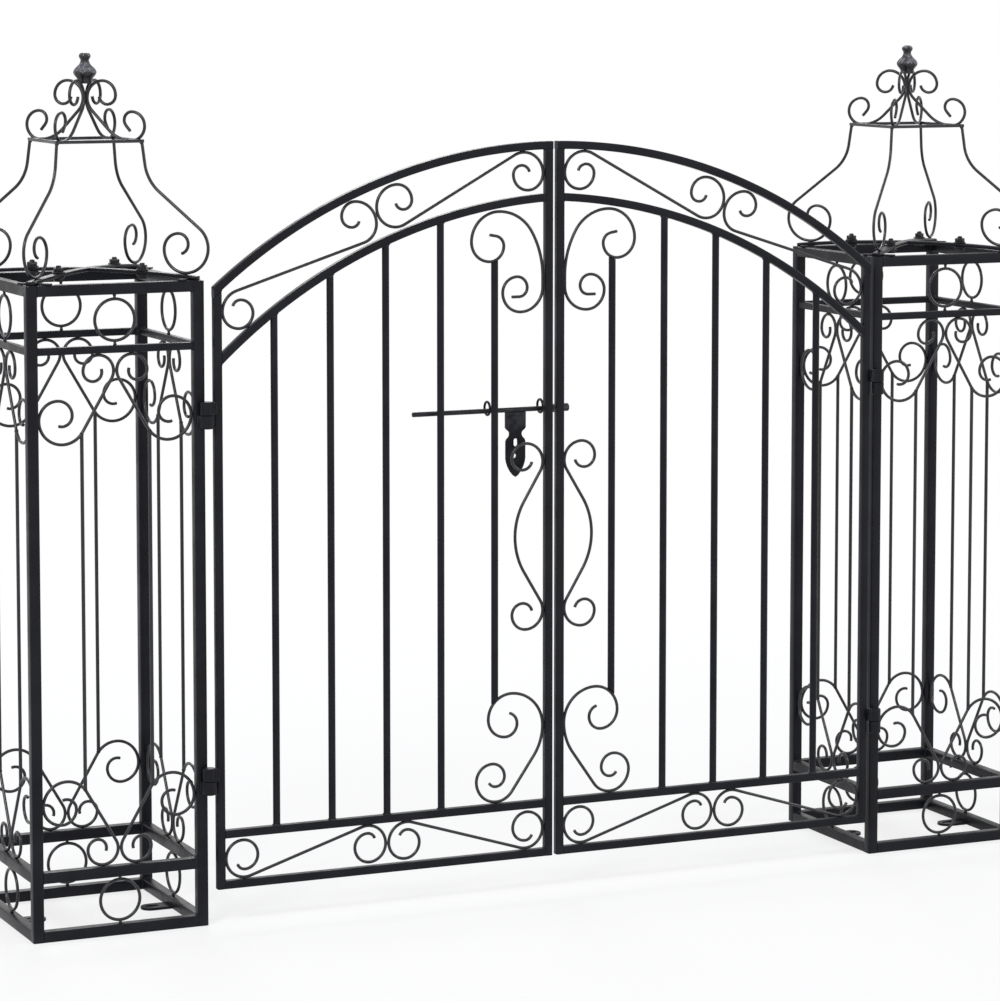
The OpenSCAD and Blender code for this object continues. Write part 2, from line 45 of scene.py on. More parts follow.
# Sizes that several pieces share, in millimetres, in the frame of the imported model
gate = {
    "width": 1220, "towerSide": 198, "towerHeight": 705, "postSide": 12, "slimRail": 8,
    "slimRailZ": 630.5, "lowRailZ": 64, "wire": 3.5, "gap": 0.1,
    "leafTop": 847, "leafSide": 9, "barWidth": 8, "partingGap": 5, "hangGap": 8.5,
    "leafProud": 7.5, "leafZ": 40, "footBand": 47, "archFall": 149, "archDrop": 57, "archShift": 26,
    "barrel": 14.5, "barrelHeight": 29, "hingeHeights": (161, 560), "crownReach": 145,
}


# Shader nodes

def addNode(tree, kind, inputs=None, **settings):
    # Each input is given a value, or the output that feeds it
    made = tree.nodes.new(kind)
    for key, value in settings.items():
        setattr(made, key, value)
    for label, value in (inputs or {}).items():
        if isinstance(value, bpy.types.NodeSocket):
            tree.links.new(value, made.inputs[label])
        else:
            made.inputs[label].default_value = value
    return made


def mathNode(tree, operation, first, second, clamp=False):
    made = addNode(tree, "ShaderNodeMath", {0: first, 1: second}, operation=operation, use_clamp=clamp)
    return made.outputs[0]


def ramp(tree, source, low, high, toLow=0.0, toHigh=1.0):
    ends = {"Value": source, "From Min": low, "From Max": high, "To Min": toLow, "To Max": toHigh}
    return addNode(tree, "ShaderNodeMapRange", ends, interpolation_type="SMOOTHSTEP").outputs["Result"]


def noiseNode(tree, place, scale, detail=3.0, roughness=0.55):
    look = {"Vector": place, "Scale": scale, "Detail": detail, "Roughness": roughness}
    return addNode(tree, "ShaderNodeTexNoise", look).outputs["Fac"]


def objectPlace(tree):
    return addNode(tree, "ShaderNodeTexCoord").outputs["Object"]


def mixColor(tree, mask, first, second):
    made = addNode(tree, "ShaderNodeMix", data_type="RGBA")
    colors = [s for s in made.inputs if s.type == "RGBA"]
    tree.links.new(mask, next(s for s in made.inputs if s.name == "Factor" and s.type == "VALUE"))
    for socket, value in zip(colors, (first, second)):
        if isinstance(value, tuple):
            socket.default_value = (*value, 1)
        else:
            tree.links.new(value, socket)
    return next(s for s in made.outputs if s.type == "RGBA")


# Camera, floor and light

cameraSetup = {"place": (-1.791, -3.925, 1.029), "turn": 24.26, "down": 5.47, "lens": 136.7, "shift": -0.16}


def makeCamera():
    c = cameraSetup
    view = bpy.data.cameras.new("gateView")
    view.lens = c["lens"]
    view.sensor_width = 36
    view.shift_y = c["shift"]
    view.clip_end = 60
    camera = bpy.data.objects.new("gateView", view)
    bpy.context.scene.collection.objects.link(camera)
    camera.location = c["place"]
    camera.rotation_euler = (math.radians(90 - c["down"]), 0, -math.radians(c["turn"]))
    bpy.context.scene.camera = camera


studio = {
    "roomColor": (0.93, 0.95, 1.0), "roomLight": 0.55,
    "floorSize": 14, "floorColor": (0.86, 0.86, 0.87), "floorRough": 0.9,
    "floorLift": 0.72, "fadeFrom": 0.9, "fadeTo": 2.2,  # the floor turns white between these distances
    "lamps": [
        # name, place, aim, size, watts
        ("keySoft", (-2.9, -2.2, 3.1), (0, 0, 0.5), 1.3, 95),
        ("fillSoft", (3.3, -1.6, 1.9), (0, 0, 0.4), 1.2, 40),
        ("backSoft", (0.6, 3.2, 2.9), (0, 0, 0.5), 1.8, 60),
    ],
}


def seenOrMirrored(tree):
    # 1 for what the camera sees, straight or in a shiny surface
    path = addNode(tree, "ShaderNodeLightPath")
    return mathNode(tree, "MAXIMUM", path.outputs["Is Camera Ray"], path.outputs["Is Glossy Ray"])


def makeRoom():
    world = bpy.data.worlds.new("paleRoom")
    bpy.context.scene.world = world
    world.use_nodes = True
    tree = world.node_tree
    tree.nodes.clear()
    soft = addNode(tree, "ShaderNodeBackground",
                   {"Color": (*studio["roomColor"], 1), "Strength": studio["roomLight"]}).outputs[0]
    seen = addNode(tree, "ShaderNodeBackground", {"Color": (1, 1, 1, 1), "Strength": 1.0}).outputs[0]
    mixed = addNode(tree, "ShaderNodeMixShader", {"Fac": seenOrMirrored(tree), 1: soft, 2: seen})
    addNode(tree, "ShaderNodeOutputWorld", {"Surface": mixed.outputs[0]})


def makeFloor():
    half = studio["floorSize"] / 2
    plane = bpy.data.meshes.new("studioFloor")
    corners = [(-half, -half, 0), (half, -half, 0), (half, half, 0), (-half, half, 0)]
    plane.from_pydata(corners, [], [(0, 1, 2, 3)])
    floor = bpy.data.objects.new("studioFloor", plane)
    bpy.context.scene.collection.objects.link(floor)
    paper = bpy.data.materials.new("palePaper")
    paper.use_nodes = True
    tree = paper.node_tree
    skin = tree.nodes["Principled BSDF"]
    skin.inputs["Base Color"].default_value = (*studio["floorColor"], 1)
    skin.inputs["Roughness"].default_value = studio["floorRough"]
    white = addNode(tree, "ShaderNodeEmission", {"Strength": 1.0})
    away = addNode(tree, "ShaderNodeVectorMath", {0: objectPlace(tree)}, operation="LENGTH")
    fade = ramp(tree, away.outputs["Value"], studio["fadeFrom"], studio["fadeTo"], studio["floorLift"])
    share = mathNode(tree, "MULTIPLY", seenOrMirrored(tree), fade)
    lift = addNode(tree, "ShaderNodeMixShader", {"Fac": share, 1: skin.outputs[0], 2: white.outputs[0]})
    tree.links.new(lift.outputs[0], tree.nodes["Material Output"].inputs["Surface"])
    plane.materials.append(paper)


def makeLamps():
    for name, place, aim, size, watts in studio["lamps"]:
        lamp = bpy.data.lights.new(name, "AREA")
        lamp.shape = "DISK"
        lamp.size = size
        lamp.energy = watts
        holder = bpy.data.objects.new(name, lamp)
        bpy.context.scene.collection.objects.link(holder)
        holder.location = place
        holder.rotation_euler = (Vector(aim) - Vector(place)).to_track_quat("-Z", "Y").to_euler()


bpy.context.scene.view_settings.view_transform = "Standard"
makeCamera()
makeRoom()
makeFloor()
makeLamps()
print("camera and studio made")


# Finishes: effects shared by the materials are node groups

def newGroup(name, inputs, outputs):
    group = bpy.data.node_groups.new(name, "ShaderNodeTree")
    for label, value in inputs.items():
        socket = group.interface.new_socket(label, in_out="INPUT", socket_type="NodeSocketFloat")
        socket.default_value = value
    for label in outputs:
        group.interface.new_socket(label, in_out="OUTPUT", socket_type="NodeSocketFloat")
    return group, group.nodes.new("NodeGroupInput").outputs, group.nodes.new("NodeGroupOutput").inputs


def makePaintSkin():
    # Fine orange peel of sprayed paint over slow waves, and a blotch mask for colour and gloss
    inputs = {"Peel Scale": 900.0, "Blotch Scale": 22.0}
    tree, given, result = newGroup("paintSkin", inputs, ("Height", "Blotch"))
    place = objectPlace(tree)
    peel = noiseNode(tree, place, given["Peel Scale"], 2.0)
    waves = noiseNode(tree, place, 140.0, 2.0)
    blotch = noiseNode(tree, place, given["Blotch Scale"], 5.0, 0.62)
    peel, waves = mathNode(tree, "MULTIPLY", peel, 0.35), mathNode(tree, "MULTIPLY", waves, 0.65)
    tree.links.new(mathNode(tree, "ADD", peel, waves), result["Height"])
    tree.links.new(ramp(tree, blotch, 0.32, 0.7), result["Blotch"])
    return tree


def makeEdgeRub():
    # Where handling has polished the paint: along proud edges, broken up by noise
    tree, given, result = newGroup("edgeRub", {"Reach": 0.56, "Breakup Scale": 70.0}, ("Mask",))
    point = addNode(tree, "ShaderNodeNewGeometry").outputs["Pointiness"]
    broken = noiseNode(tree, objectPlace(tree), given["Breakup Scale"], 4.0, 0.6)
    proud = ramp(tree, point, given["Reach"], 0.66)
    tree.links.new(mathNode(tree, "MULTIPLY", proud, ramp(tree, broken, 0.38, 0.62), True), result["Mask"])
    return tree


def makeDustAndSheen():
    # Pale dust that settles on faces that look up, and a painted highlight: the same pale tone makes
    # up-facing faces lighter, as if lit from above
    inputs = {"Amount": 0.5, "Grain Scale": 260.0, "Lowest Slope": 0.55, "Full Slope": 0.98}
    tree, given, result = newGroup("upFacingDustAndSheen", inputs, ("Mask",))
    place = objectPlace(tree)
    face = addNode(tree, "ShaderNodeNewGeometry").outputs["Normal"]
    upward = addNode(tree, "ShaderNodeSeparateXYZ", {"Vector": face}).outputs["Z"]
    up = ramp(tree, upward, given["Lowest Slope"], given["Full Slope"])
    grain = ramp(tree, noiseNode(tree, place, given["Grain Scale"], 4.0, 0.7), 0.35, 0.75)
    patches = ramp(tree, noiseNode(tree, place, 9.0, 3.0), 0.3, 0.7, 0.25, 1.0)
    mask = mathNode(tree, "MULTIPLY", mathNode(tree, "MULTIPLY", up, grain), patches)
    tree.links.new(mathNode(tree, "MULTIPLY", mask, given["Amount"], True), result["Mask"])
    return tree


def makeSlideMarks():
    # Fine scratches along X, from a rod that slides in its eyes
    tree, given, result = newGroup("slideMarks", {"Amount": 0.6, "Fineness": 900.0}, ("Mask",))
    place = objectPlace(tree)
    stretched = addNode(tree, "ShaderNodeMapping", {"Scale": (0.03, 1, 1), "Vector": place}).outputs["Vector"]
    lines = ramp(tree, noiseNode(tree, stretched, given["Fineness"], 2.0), 0.52, 0.6)
    patches = ramp(tree, noiseNode(tree, place, 60.0, 2.0), 0.4, 0.65)
    mask = mathNode(tree, "MULTIPLY", mathNode(tree, "MULTIPLY", lines, patches), given["Amount"], True)
    tree.links.new(mask, result["Mask"])
    return tree


paintSkin = makePaintSkin()
edgeRub = makeEdgeRub()
upFacingDustAndSheen = makeDustAndSheen()
slideMarks = makeSlideMarks()

# What the finishes have in common, with the angle up to which a piece is smooth and its slot in the record
commonPaint = {
    "blotch": 24.0, "breakup": 70.0, "peel": 900.0, "bump": 0.00008, "marks": 0.0, "markFineness": 900.0,
    # The pale tone on faces that look up is partly dust and partly a painted highlight from above
    "dustAndSheen": (0.10, 0.098, 0.094), "dustAndSheenAmount": 0.25, "dustAndSheenFrom": 0.55, "dustAndSheenTo": 0.98, "dustAndSheenRough": 0.5,
    "grain": 700.0, "smooth": 38, "slot": "black_paint",
}
finishes = {
    "gatePaint": {
        "deep": (0.0050, 0.0053, 0.0078), "pale": (0.0095, 0.0100, 0.0140), "rubbed": (0.040, 0.042, 0.048),
        "rubReach": 0.555, "roughLow": 0.30, "roughHigh": 0.44, "gloss": 0.16, "bump": 0.00006,
    },
    "weldPaint": {
        "deep": (0.0055, 0.0058, 0.0082), "pale": (0.0120, 0.0125, 0.0160), "rubbed": (0.050, 0.051, 0.056),
        "rubReach": 0.54, "roughLow": 0.32, "roughHigh": 0.50, "gloss": 0.18, "bump": 0.00022,
        "peel": 520.0, "dustAndSheen": (0.10, 0.096, 0.092), "dustAndSheenAmount": 0.30, "grain": 260.0, "smooth": 60,
    },
    "wirePaint": {
        "deep": (0.0075, 0.0079, 0.0105), "pale": (0.0150, 0.0156, 0.0200), "rubbed": (0.050, 0.052, 0.058),
        "rubReach": 0.60, "roughLow": 0.26, "roughHigh": 0.38, "gloss": 0.45,
    },
    "boltPaint": {
        "deep": (0.0080, 0.0084, 0.0110), "pale": (0.0160, 0.0165, 0.0200), "rubbed": (0.11, 0.11, 0.12),
        "rubReach": 0.545, "roughLow": 0.26, "roughHigh": 0.40, "gloss": 0.24, "marks": 0.6,
        "dustAndSheen": (0.10, 0.098, 0.095), "dustAndSheenAmount": 0.18, "grain": 500.0, "slot": "bolt_steel",
    },
    "castPaint": {
        "deep": (0.0040, 0.0042, 0.0060), "pale": (0.0080, 0.0083, 0.0110), "rubbed": (0.16, 0.16, 0.18),
        "rubReach": 0.52, "roughLow": 0.24, "roughHigh": 0.34, "gloss": 0.5, "bump": 0.00016, "peel": 700.0,
        # On the finial this pale tone is mostly a painted highlight: its upper faces turn pale grey as if lit
        # from above
        "dustAndSheen": (0.27, 0.27, 0.31), "dustAndSheenAmount": 2.4, "dustAndSheenFrom": 0.12, "dustAndSheenTo": 0.68, "grain": 260.0,
        "smooth": 70,
    },
}


def makeFinish(name):
    look = {**commonPaint, **finishes[name]}
    material = bpy.data.materials.new(name)
    look["material"] = material
    material.use_nodes = True
    tree = material.node_tree
    skin = tree.nodes["Principled BSDF"]

    def effect(group, values):
        return addNode(tree, "ShaderNodeGroup", values, node_tree=group).outputs

    paint = effect(paintSkin, {"Peel Scale": look["peel"], "Blotch Scale": look["blotch"]})
    worn = effect(edgeRub, {"Reach": look["rubReach"], "Breakup Scale": look["breakup"]})["Mask"]
    # Pale on faces that look up: dust, and a painted highlight standing in for light from above
    dustAndSheen = effect(upFacingDustAndSheen, {"Amount": look["dustAndSheenAmount"], "Grain Scale": look["grain"],
                                "Lowest Slope": look["dustAndSheenFrom"], "Full Slope": look["dustAndSheenTo"]})["Mask"]
    if look["marks"]:
        marks = effect(slideMarks, {"Amount": look["marks"], "Fineness": look["markFineness"]})["Mask"]
        worn = mathNode(tree, "MAXIMUM", worn, marks)
    color = mixColor(tree, paint["Blotch"], look["deep"], look["pale"])
    color = mixColor(tree, worn, color, look["rubbed"])
    tree.links.new(mixColor(tree, dustAndSheen, color, look["dustAndSheen"]), skin.inputs["Base Color"])
    rough = ramp(tree, paint["Blotch"], 0.0, 1.0, look["roughHigh"], look["roughLow"])
    rough = mathNode(tree, "ADD", rough, mathNode(tree, "MULTIPLY", dustAndSheen, look["dustAndSheenRough"]), True)
    tree.links.new(rough, skin.inputs["Roughness"])
    skin.inputs["Metallic"].default_value = 0.0
    skin.inputs["Specular IOR Level"].default_value = look["gloss"]
    relief = {"Strength": 1.0, "Distance": look["bump"], "Height": paint["Height"]}
    tree.links.new(addNode(tree, "ShaderNodeBump", relief).outputs["Normal"], skin.inputs["Normal"])
    return look


paints = {name: makeFinish(name) for name in finishes}
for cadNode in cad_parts.values():
    cadNode.data.materials.clear()
    cadNode.data.materials.append(paints["gatePaint"]["material"])
print("finishes made")


# Drawing wires and bars, in millimetres

fineness = {"arcStep": 2.6, "wireStretch": 14, "barStretch": 60}
weldLook = {"ripple": 1.1, "wander": 0.12, "thinEnd": 0.45, "swell": 2.2, "ripples": (0.86, 1.06),
            "uneven": 0.07, "lump": 0.16, "lumpScale": 2.3}
weldSeeds = itertools.count(1)  # each weld takes the next one


def unit(angle):
    return Vector((math.cos(math.radians(angle)), math.sin(math.radians(angle))))


def circle(radius, count):
    turns = [2 * math.pi * i / count for i in range(count)]
    return [(radius * math.cos(a), radius * math.sin(a)) for a in turns]


def wirePath(start, heading, bends):
    # Points of a flat path: (radius, angle) turns left for a positive angle, (0, length) goes straight
    points = [Vector(start)]
    for radius, amount in bends:
        if radius == 0:
            count = max(1, round(amount / fineness["wireStretch"]))
            points += [points[-1] + unit(heading) * (amount * (i + 1) / count) for i in range(count)]
            continue
        side = 90 if amount > 0 else -90
        hub = points[-1] + unit(heading + side) * radius
        count = max(3, round(math.radians(abs(amount)) * radius / fineness["arcStep"]))
        for i in range(count):
            points.append(hub - unit(heading + side + amount * (i + 1) / count) * radius)
        heading += amount
    return points


def innerTurns(radius, shares, last):
    # The inner part of a curl: a quarter turn for each share of its radius, and last degrees at the end
    return [(radius * share, 90) for share in shares[:-1]] + [(radius * shares[-1], last)]


def toSide(side, bends):
    return [(r, a if r == 0 else side * a) for r, a in bends]


def tangentHeading(c1, r1, c2, r2):
    along = Vector(c2) - Vector(c1)
    return math.degrees(math.atan2(along.y, along.x) - math.asin((r2 - r1) / along.length))


def rimPoint(center, radius, heading):
    return Vector(center) - unit(heading + 90) * radius


def scrollPath(c1, r1, arc1, turns1, c2, r2, arc2, turns2):
    # Two curls and the straight that is tangent to both, as one path
    heading = tangentHeading(c1, r1, c2, r2)
    p1, p2 = rimPoint(c1, r1, heading), rimPoint(c2, r2, heading)
    s1, s2 = (1 if r > 0 else -1 for r in (r1, r2))
    head = wirePath(p1, heading + 180, toSide(-s1, [(abs(r1), arc1 + s1 * heading)] + turns1))
    tail = wirePath(p2, heading, toSide(s2, [(abs(r2), arc2 - s2 * heading)] + turns2))
    middle = [p1.lerp(p2, t / 5) for t in range(1, 5)] if (p2 - p1).length > 20 else []
    return head[::-1] + middle + tail


def flatToSpace(points, y=0):
    # A flat path in X and Z, standing at one Y
    return [Vector((p.x, y, p.y)) for p in points]


def roundProfile(width, sides=10):
    return [unit(360 * i / sides) * (width / 2) for i in range(sides)]


def squareProfile(side, corner, high=None, steps=3):
    # A rounded rectangle, as drawn tube is: across by high
    halves = (side / 2 - corner, (high or side) / 2 - corner)
    points = []
    for quarter, (sx, sy) in enumerate(((1, 1), (-1, 1), (-1, -1), (1, -1))):
        middle = Vector((sx * halves[0], sy * halves[1]))
        points += [middle + unit(90 * quarter + 90 * i / steps) * corner for i in range(steps + 1)]
    return points


def drawnIn(loop, by):
    # A flat loop with each point moved towards its middle
    middle = sum(loop, Vector((0, 0))) / len(loop)
    return [p + (middle - p).normalized() * by for p in loop]


def ringOf(bm, spots):
    return [bm.verts.new(Vector(spot) * mm) for spot in spots]


def bridge(bm, rings):
    # Joins rings of equal count, each to the next one
    for first, second in zip(rings, rings[1:]):
        count = len(first)
        for i in range(count):
            j = (i + 1) % count
            bm.faces.new((first[i], first[j], second[j], second[i]))


def closedSkin(bm, rings):
    bridge(bm, rings)
    bm.faces.new(rings[0][::-1])
    bm.faces.new(rings[-1])


def capEnd(bm, ring, direction, cut):
    # A flat end with its edge broken: a smaller ring at the end, and the full one a little behind it
    if not cut:
        bm.faces.new(ring[::-1] if direction > 0 else ring)
        return
    middle = sum((v.co for v in ring), Vector()) / len(ring)
    inner = [bm.verts.new(middle + (v.co - middle) * 0.82) for v in ring]
    inward = (ring[1].co - ring[0].co).cross(ring[2].co - ring[1].co).normalized() * direction
    for vert in ring:
        vert.co += inward * (cut * mm)
    bridge(bm, [inner, ring] if direction > 0 else [ring, inner])
    bm.faces.new(inner[::-1] if direction > 0 else inner)


def sweep(bm, points, across, profile, closed=False, endCut=0.35, scales=None, cutX=(None, None)):
    # Runs the profile along the points; across is the profile's first axis and stays the same.
    # cutX trims an end square to X, as where an arch is sawn off beside a stile
    points = [Vector(p) for p in points]
    across = Vector(across).normalized()
    last = len(points) - 1
    rings = []
    for i, place in enumerate(points):
        if closed:
            along = points[(i + 1) % len(points)] - points[i - 1]
        else:
            along = points[min(i + 1, last)] - points[max(i - 1, 0)]
        along.normalize()
        over = along.cross(across).normalized()
        scale = scales[i] if scales else 1.0
        ring = ringOf(bm, [place + across * (p.x * scale) + over * (p.y * scale) for p in profile])
        edge = cutX[0] if i == 0 else cutX[1] if i == last else None
        if edge is not None:
            for vert in ring:
                vert.co += along * ((edge * mm - vert.co.x) / along.x)
        rings.append(ring)
    bridge(bm, rings + rings[:1] if closed else rings)
    if not closed:
        for ring, direction, trimmed in ((rings[0], 1, cutX[0]), (rings[-1], -1, cutX[1])):
            capEnd(bm, ring, direction, endCut if trimmed is None else 0)


def straightBar(bm, start, end, across, profile):
    start, end = Vector(start), Vector(end)
    count = max(1, round((end - start).length / fineness["barStretch"]))
    sweep(bm, [start.lerp(end, i / count) for i in range(count + 1)], across, profile)


def squareBar(bm, start, end, side, across, corner, high=None):
    straightBar(bm, start, end, across, squareProfile(side, corner, high))


def roundBar(bm, start, end, width, across, sides):
    straightBar(bm, start, end, across, roundProfile(width, sides))


def turned(bm, center, outline, sides, axis="Z", turn=0, shape=None):
    # Turns an outline of (radius, height) round the axis; a shape changes the radius at an angle and height
    rings = []
    for radius, height in outline:
        spots = []
        for i in range(sides):
            angle = 2 * math.pi * i / sides
            r = shape(radius, angle, height) if shape else radius
            away = angle + math.radians(turn)
            spot = Vector((r * math.cos(away), r * math.sin(away), height))
            spots.append(Vector(center) + (spot.zxy if axis == "X" else spot))
        rings.append(ringOf(bm, spots))
    closedSkin(bm, rings)


def hexagon(bm, center, low, high, flats, turn):
    # A nut or a bolt head: a hexagon whose corners are turned off at both ends
    half, sixth, chamfer = flats / 2, math.pi / 3, 0.45
    corner = half / math.cos(sixth / 2)
    outline = [(half, low), (corner, low + chamfer), (corner, high - chamfer), (half - 0.1, high)]

    def sixSided(radius, angle, _):
        return min(radius, half / math.cos((angle + sixth / 2) % sixth - sixth / 2))

    turned(bm, center, outline, 48, turn=turn, shape=sixSided)


def bead(bm, start, end, radius, across):
    # A run of weld: small ripples side by side, thinner at both ends
    w = weldLook
    rng = random.Random(next(weldSeeds))
    start, end = Vector(start), Vector(end)
    count = max(4, round((end - start).length / w["ripple"]))
    points, scales = [], []
    for i in range(count + 1):
        t = i / count
        off = Vector([rng.uniform(-w["wander"], w["wander"]) for _ in range(3)])
        points.append(start.lerp(end, t) + off)
        ends = min(1.0, w["thinEnd"] + w["swell"] * min(t, 1 - t))
        scales.append(ends * w["ripples"][i % 2] * rng.uniform(1 - w["uneven"], 1 + w["uneven"]))
    sweep(bm, points, across, roundProfile(2 * radius, 7), endCut=0, scales=scales)


def tack(bm, center, size):
    # A lump of weld where a wire was tacked
    seed = next(weldSeeds)
    shift = Vector((seed * 7.31, seed * 1.7, 0))
    for vert in bmesh.ops.create_icosphere(bm, subdivisions=2, radius=1.0)["verts"]:
        rough = 1 + weldLook["lump"] * noise.noise(vert.co * weldLook["lumpScale"] + shift)
        vert.co = (Vector(center) + vert.co * rough * (size / 2)) * mm


def makePiece(name, body, paint, maker, *stands):
    # Every maker draws a left half; what is named for the right is its mirror image
    bm = bmesh.new()
    maker(bm)
    if name.startswith("right"):
        for vert in bm.verts:
            vert.co.x = -vert.co.x
        bmesh.ops.reverse_faces(bm, faces=bm.faces)
    mesh = bpy.data.meshes.new(name)
    bm.to_mesh(mesh)
    bm.free()
    look = paints[paint]
    mesh.polygons.foreach_set("use_smooth", [True] * len(mesh.polygons))
    mesh.set_sharp_from_angle(angle=math.radians(look["smooth"]))
    mesh.materials.append(look["material"])
    piece = bpy.data.objects.new(name, mesh)
    bpy.context.scene.collection.objects.link(piece)
    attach(piece, body)
    if stands:
        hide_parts(*stands)


# Places shared by the pieces of the left half

g = gate
wire, gap = g["wire"], g["gap"]
towerX = (g["width"] - g["towerSide"]) / 2
crownOut = g["crownReach"] / math.sqrt(2) + wire / 2
frontY = (g["barrel"] + 1 - g["towerSide"] / 2 - crownOut) / 2  # the whole gate is centred on Y
towerMid = Vector((-towerX, frontY + g["towerSide"] / 2, 0))
railHalf = g["towerSide"] / 2 - g["postSide"]  # half the room between two posts
railOff = (g["towerSide"] - g["postSide"]) / 2  # from the tower's middle to the middle of a rail
postFace = -g["width"] / 2 + g["towerSide"]
leafOut = postFace + g["hangGap"]
leafIn = -g["partingGap"] / 2
stileOut = leafOut + g["leafSide"]
stileIn = leafIn - g["leafSide"]
leafY = frontY - g["leafProud"] + g["leafSide"] / 2
leafBack = leafY + g["leafSide"] / 2
bay = (leafIn - leafOut - g["leafSide"]) / 6
bayScale = bay / 65
footZ = g["leafZ"] + g["leafSide"]
midRailZ = footZ + g["footBand"]
barsZ = midRailZ + g["leafSide"]
archR = (leafOut ** 2 + g["archFall"] ** 2) / (2 * g["archFall"])
archMid = Vector((0, g["leafTop"] - archR))
lowMid = Vector((g["archShift"], archMid.y - g["archDrop"]))
hinge = Vector((postFace - 1, frontY - 1 - g["barrel"] / 2, 0))
acrossWire = roundProfile(wire)
sides = {"front": 0, "inner": 90, "back": 180, "outer": 270}  # a tower's sides, and their turns
corners = (45, 135, 225, 315)


def heightAt(x, middle, radius):
    return middle.y + math.sqrt(radius ** 2 - (x - middle.x) ** 2)


def barX(i):
    return leafOut + g["leafSide"] / 2 + i * bay


def turnVector(v, turn):
    c, s = math.cos(math.radians(turn)), math.sin(math.radians(turn))
    return Vector((v[0] * c - v[1] * s, v[0] * s + v[1] * c, v[2]))


def onTower(point, turn):
    # A point drawn about the tower's middle line, turned about it and put in place
    return towerMid + turnVector(Vector(point), turn)


def aroundTower(points, turn):
    return [onTower(p, turn) for p in points]


def sweepAround(bm, points, turn, profile, **ends):
    sweep(bm, aroundTower(points, turn), turnVector((0, 1, 0), turn), profile, **ends)


# Tower frames

towerLook = {"postCorner": 1.5, "railCorner": 1.3, "slimCorner": 0.14, "tuck": 0.5,
             "beadSize": 1.35, "sideBead": 0.9, "beadShort": 1.2, "beadLift": 0.08, "sideBeadShort": 1.4}
railSets = {
    # The cad node, and the height and width of each rail
    "TopRails": ("top_rails", [(g["towerHeight"] - g["postSide"], g["postSide"])]),
    "InnerRails": ("inner_rails", [(g["slimRailZ"], g["slimRail"]), (g["lowRailZ"], g["postSide"])]),
    "GroundRails": ("ground_rails", [(0, g["postSide"])]),
}


def towerPosts(bm):
    for x in (-railOff, railOff):
        for y in (-railOff, railOff):
            foot = towerMid + Vector((x, y, 0))
            top = foot + Vector((0, 0, g["towerHeight"]))
            squareBar(bm, foot, top, g["postSide"], (1, 0, 0), towerLook["postCorner"])


def towerRails(bm, levels):
    # Rails on all four sides at each level; the ground rails also hold two slotted plates
    end = railHalf + towerLook["tuck"]
    for z, side in levels:
        corner = min(towerLook["railCorner"], side * towerLook["slimCorner"])
        for turn in sides.values():
            ends = aroundTower([(x, -railOff, z + side / 2) for x in (-end, end)], turn)
            squareBar(bm, *ends, side, turnVector((0, 1, 0), turn), corner)
        if z == 0:
            groundPlate(bm, 0)
            groundPlate(bm, 180)


def towerBeads(bm, levels):
    # A run of weld at each of the rails' seams that can be reached
    t = towerLook
    for z, side in levels:
        run, low, high = side / 2 - t["beadShort"], z + t["sideBeadShort"], z + side - t["sideBeadShort"]
        for turn in sides.values():
            for end in (-railHalf, railHalf):
                for seam, lift in ((z, -t["beadLift"]), (z + side, t["beadLift"])):
                    if 2 < seam < g["towerHeight"] - 2:
                        ends = aroundTower([(end, -railOff + y, seam + lift) for y in (-run, run)], turn)
                        bead(bm, *ends, t["beadSize"], (0, 0, 1))
                ends = aroundTower([(end, -railOff + side / 2 - 0.1, seam) for seam in (low, high)], turn)
                bead(bm, *ends, t["beadSize"] * t["sideBead"], turnVector((1, 0, 0), turn))


# Ground plates

plateSizes = {"length": 32, "width": 22, "thick": 3, "slot": 16, "slotWidth": 6.5, "slotAt": 13,
              "tuck": 1.0, "shoulder": 6, "edge": 0.35}


def groundPlate(bm, turn):
    # A rounded plate with a slot: its skin runs up the outside, over the top and down through the slot
    p = plateSizes
    start, tip = railHalf + p["tuck"], railHalf - p["length"]
    r, s, n = p["width"] / 2, p["slotWidth"] / 2, 12
    neck, mid = tip + r + p["shoulder"], tip + p["slotAt"]
    run = (p["slot"] - p["slotWidth"]) / 2
    outer = [Vector((start, r)), Vector((neck, r))]
    outer += [Vector((tip + r, 0)) + unit(90 + 180 * i / n) * r for i in range(n + 1)]
    outer += [Vector((neck, -r)), Vector((start, -r))]
    inner = [Vector((mid + run, 0)) + unit(a) * s for a in (30, 80)]
    inner += [Vector((mid - run, 0)) + unit(90 + 180 * i / n) * s for i in range(n + 1)]
    inner += [Vector((mid + run, 0)) + unit(a) * s for a in (-80, -30)]
    outside, inside = [], []
    thick, edge = p["thick"], p["edge"]
    for z, cut in ((0.0, edge), (edge, 0.0), (thick - edge, 0.0), (thick, edge)):
        for loop, inward, rings in ((outer, cut, outside), (inner, -cut, inside)):
            rings.append(ringOf(bm, aroundTower([(q.x, q.y, z) for q in drawnIn(loop, inward)], turn)))
    bridge(bm, outside + inside[::-1] + outside[:1])


# Tower panels

panelSizes = {"smallCurl": 17, "smallTurns": (0.65, 0.58), "bigCurl": 26, "bigTurns": (0.8, 0.62, 0.44),
              "lastTurn": 110, "rise": 51, "circle": 48, "stem": 3.1, "barX": 38, "bar": 4}
panelWelds = {"pair": 3.4, "hang": 3.0, "post": 3.2, "bar": 4.6, "stem": 4.0}
panelTop, panelFloor = g["slimRailZ"], g["lowRailZ"] + g["postSide"]
panelEnds = ((panelTop, 1), (panelFloor, -1))
circleBands = ((panelTop + g["slimRail"], g["towerHeight"] - g["postSide"]), (g["postSide"], g["lowRailZ"]))


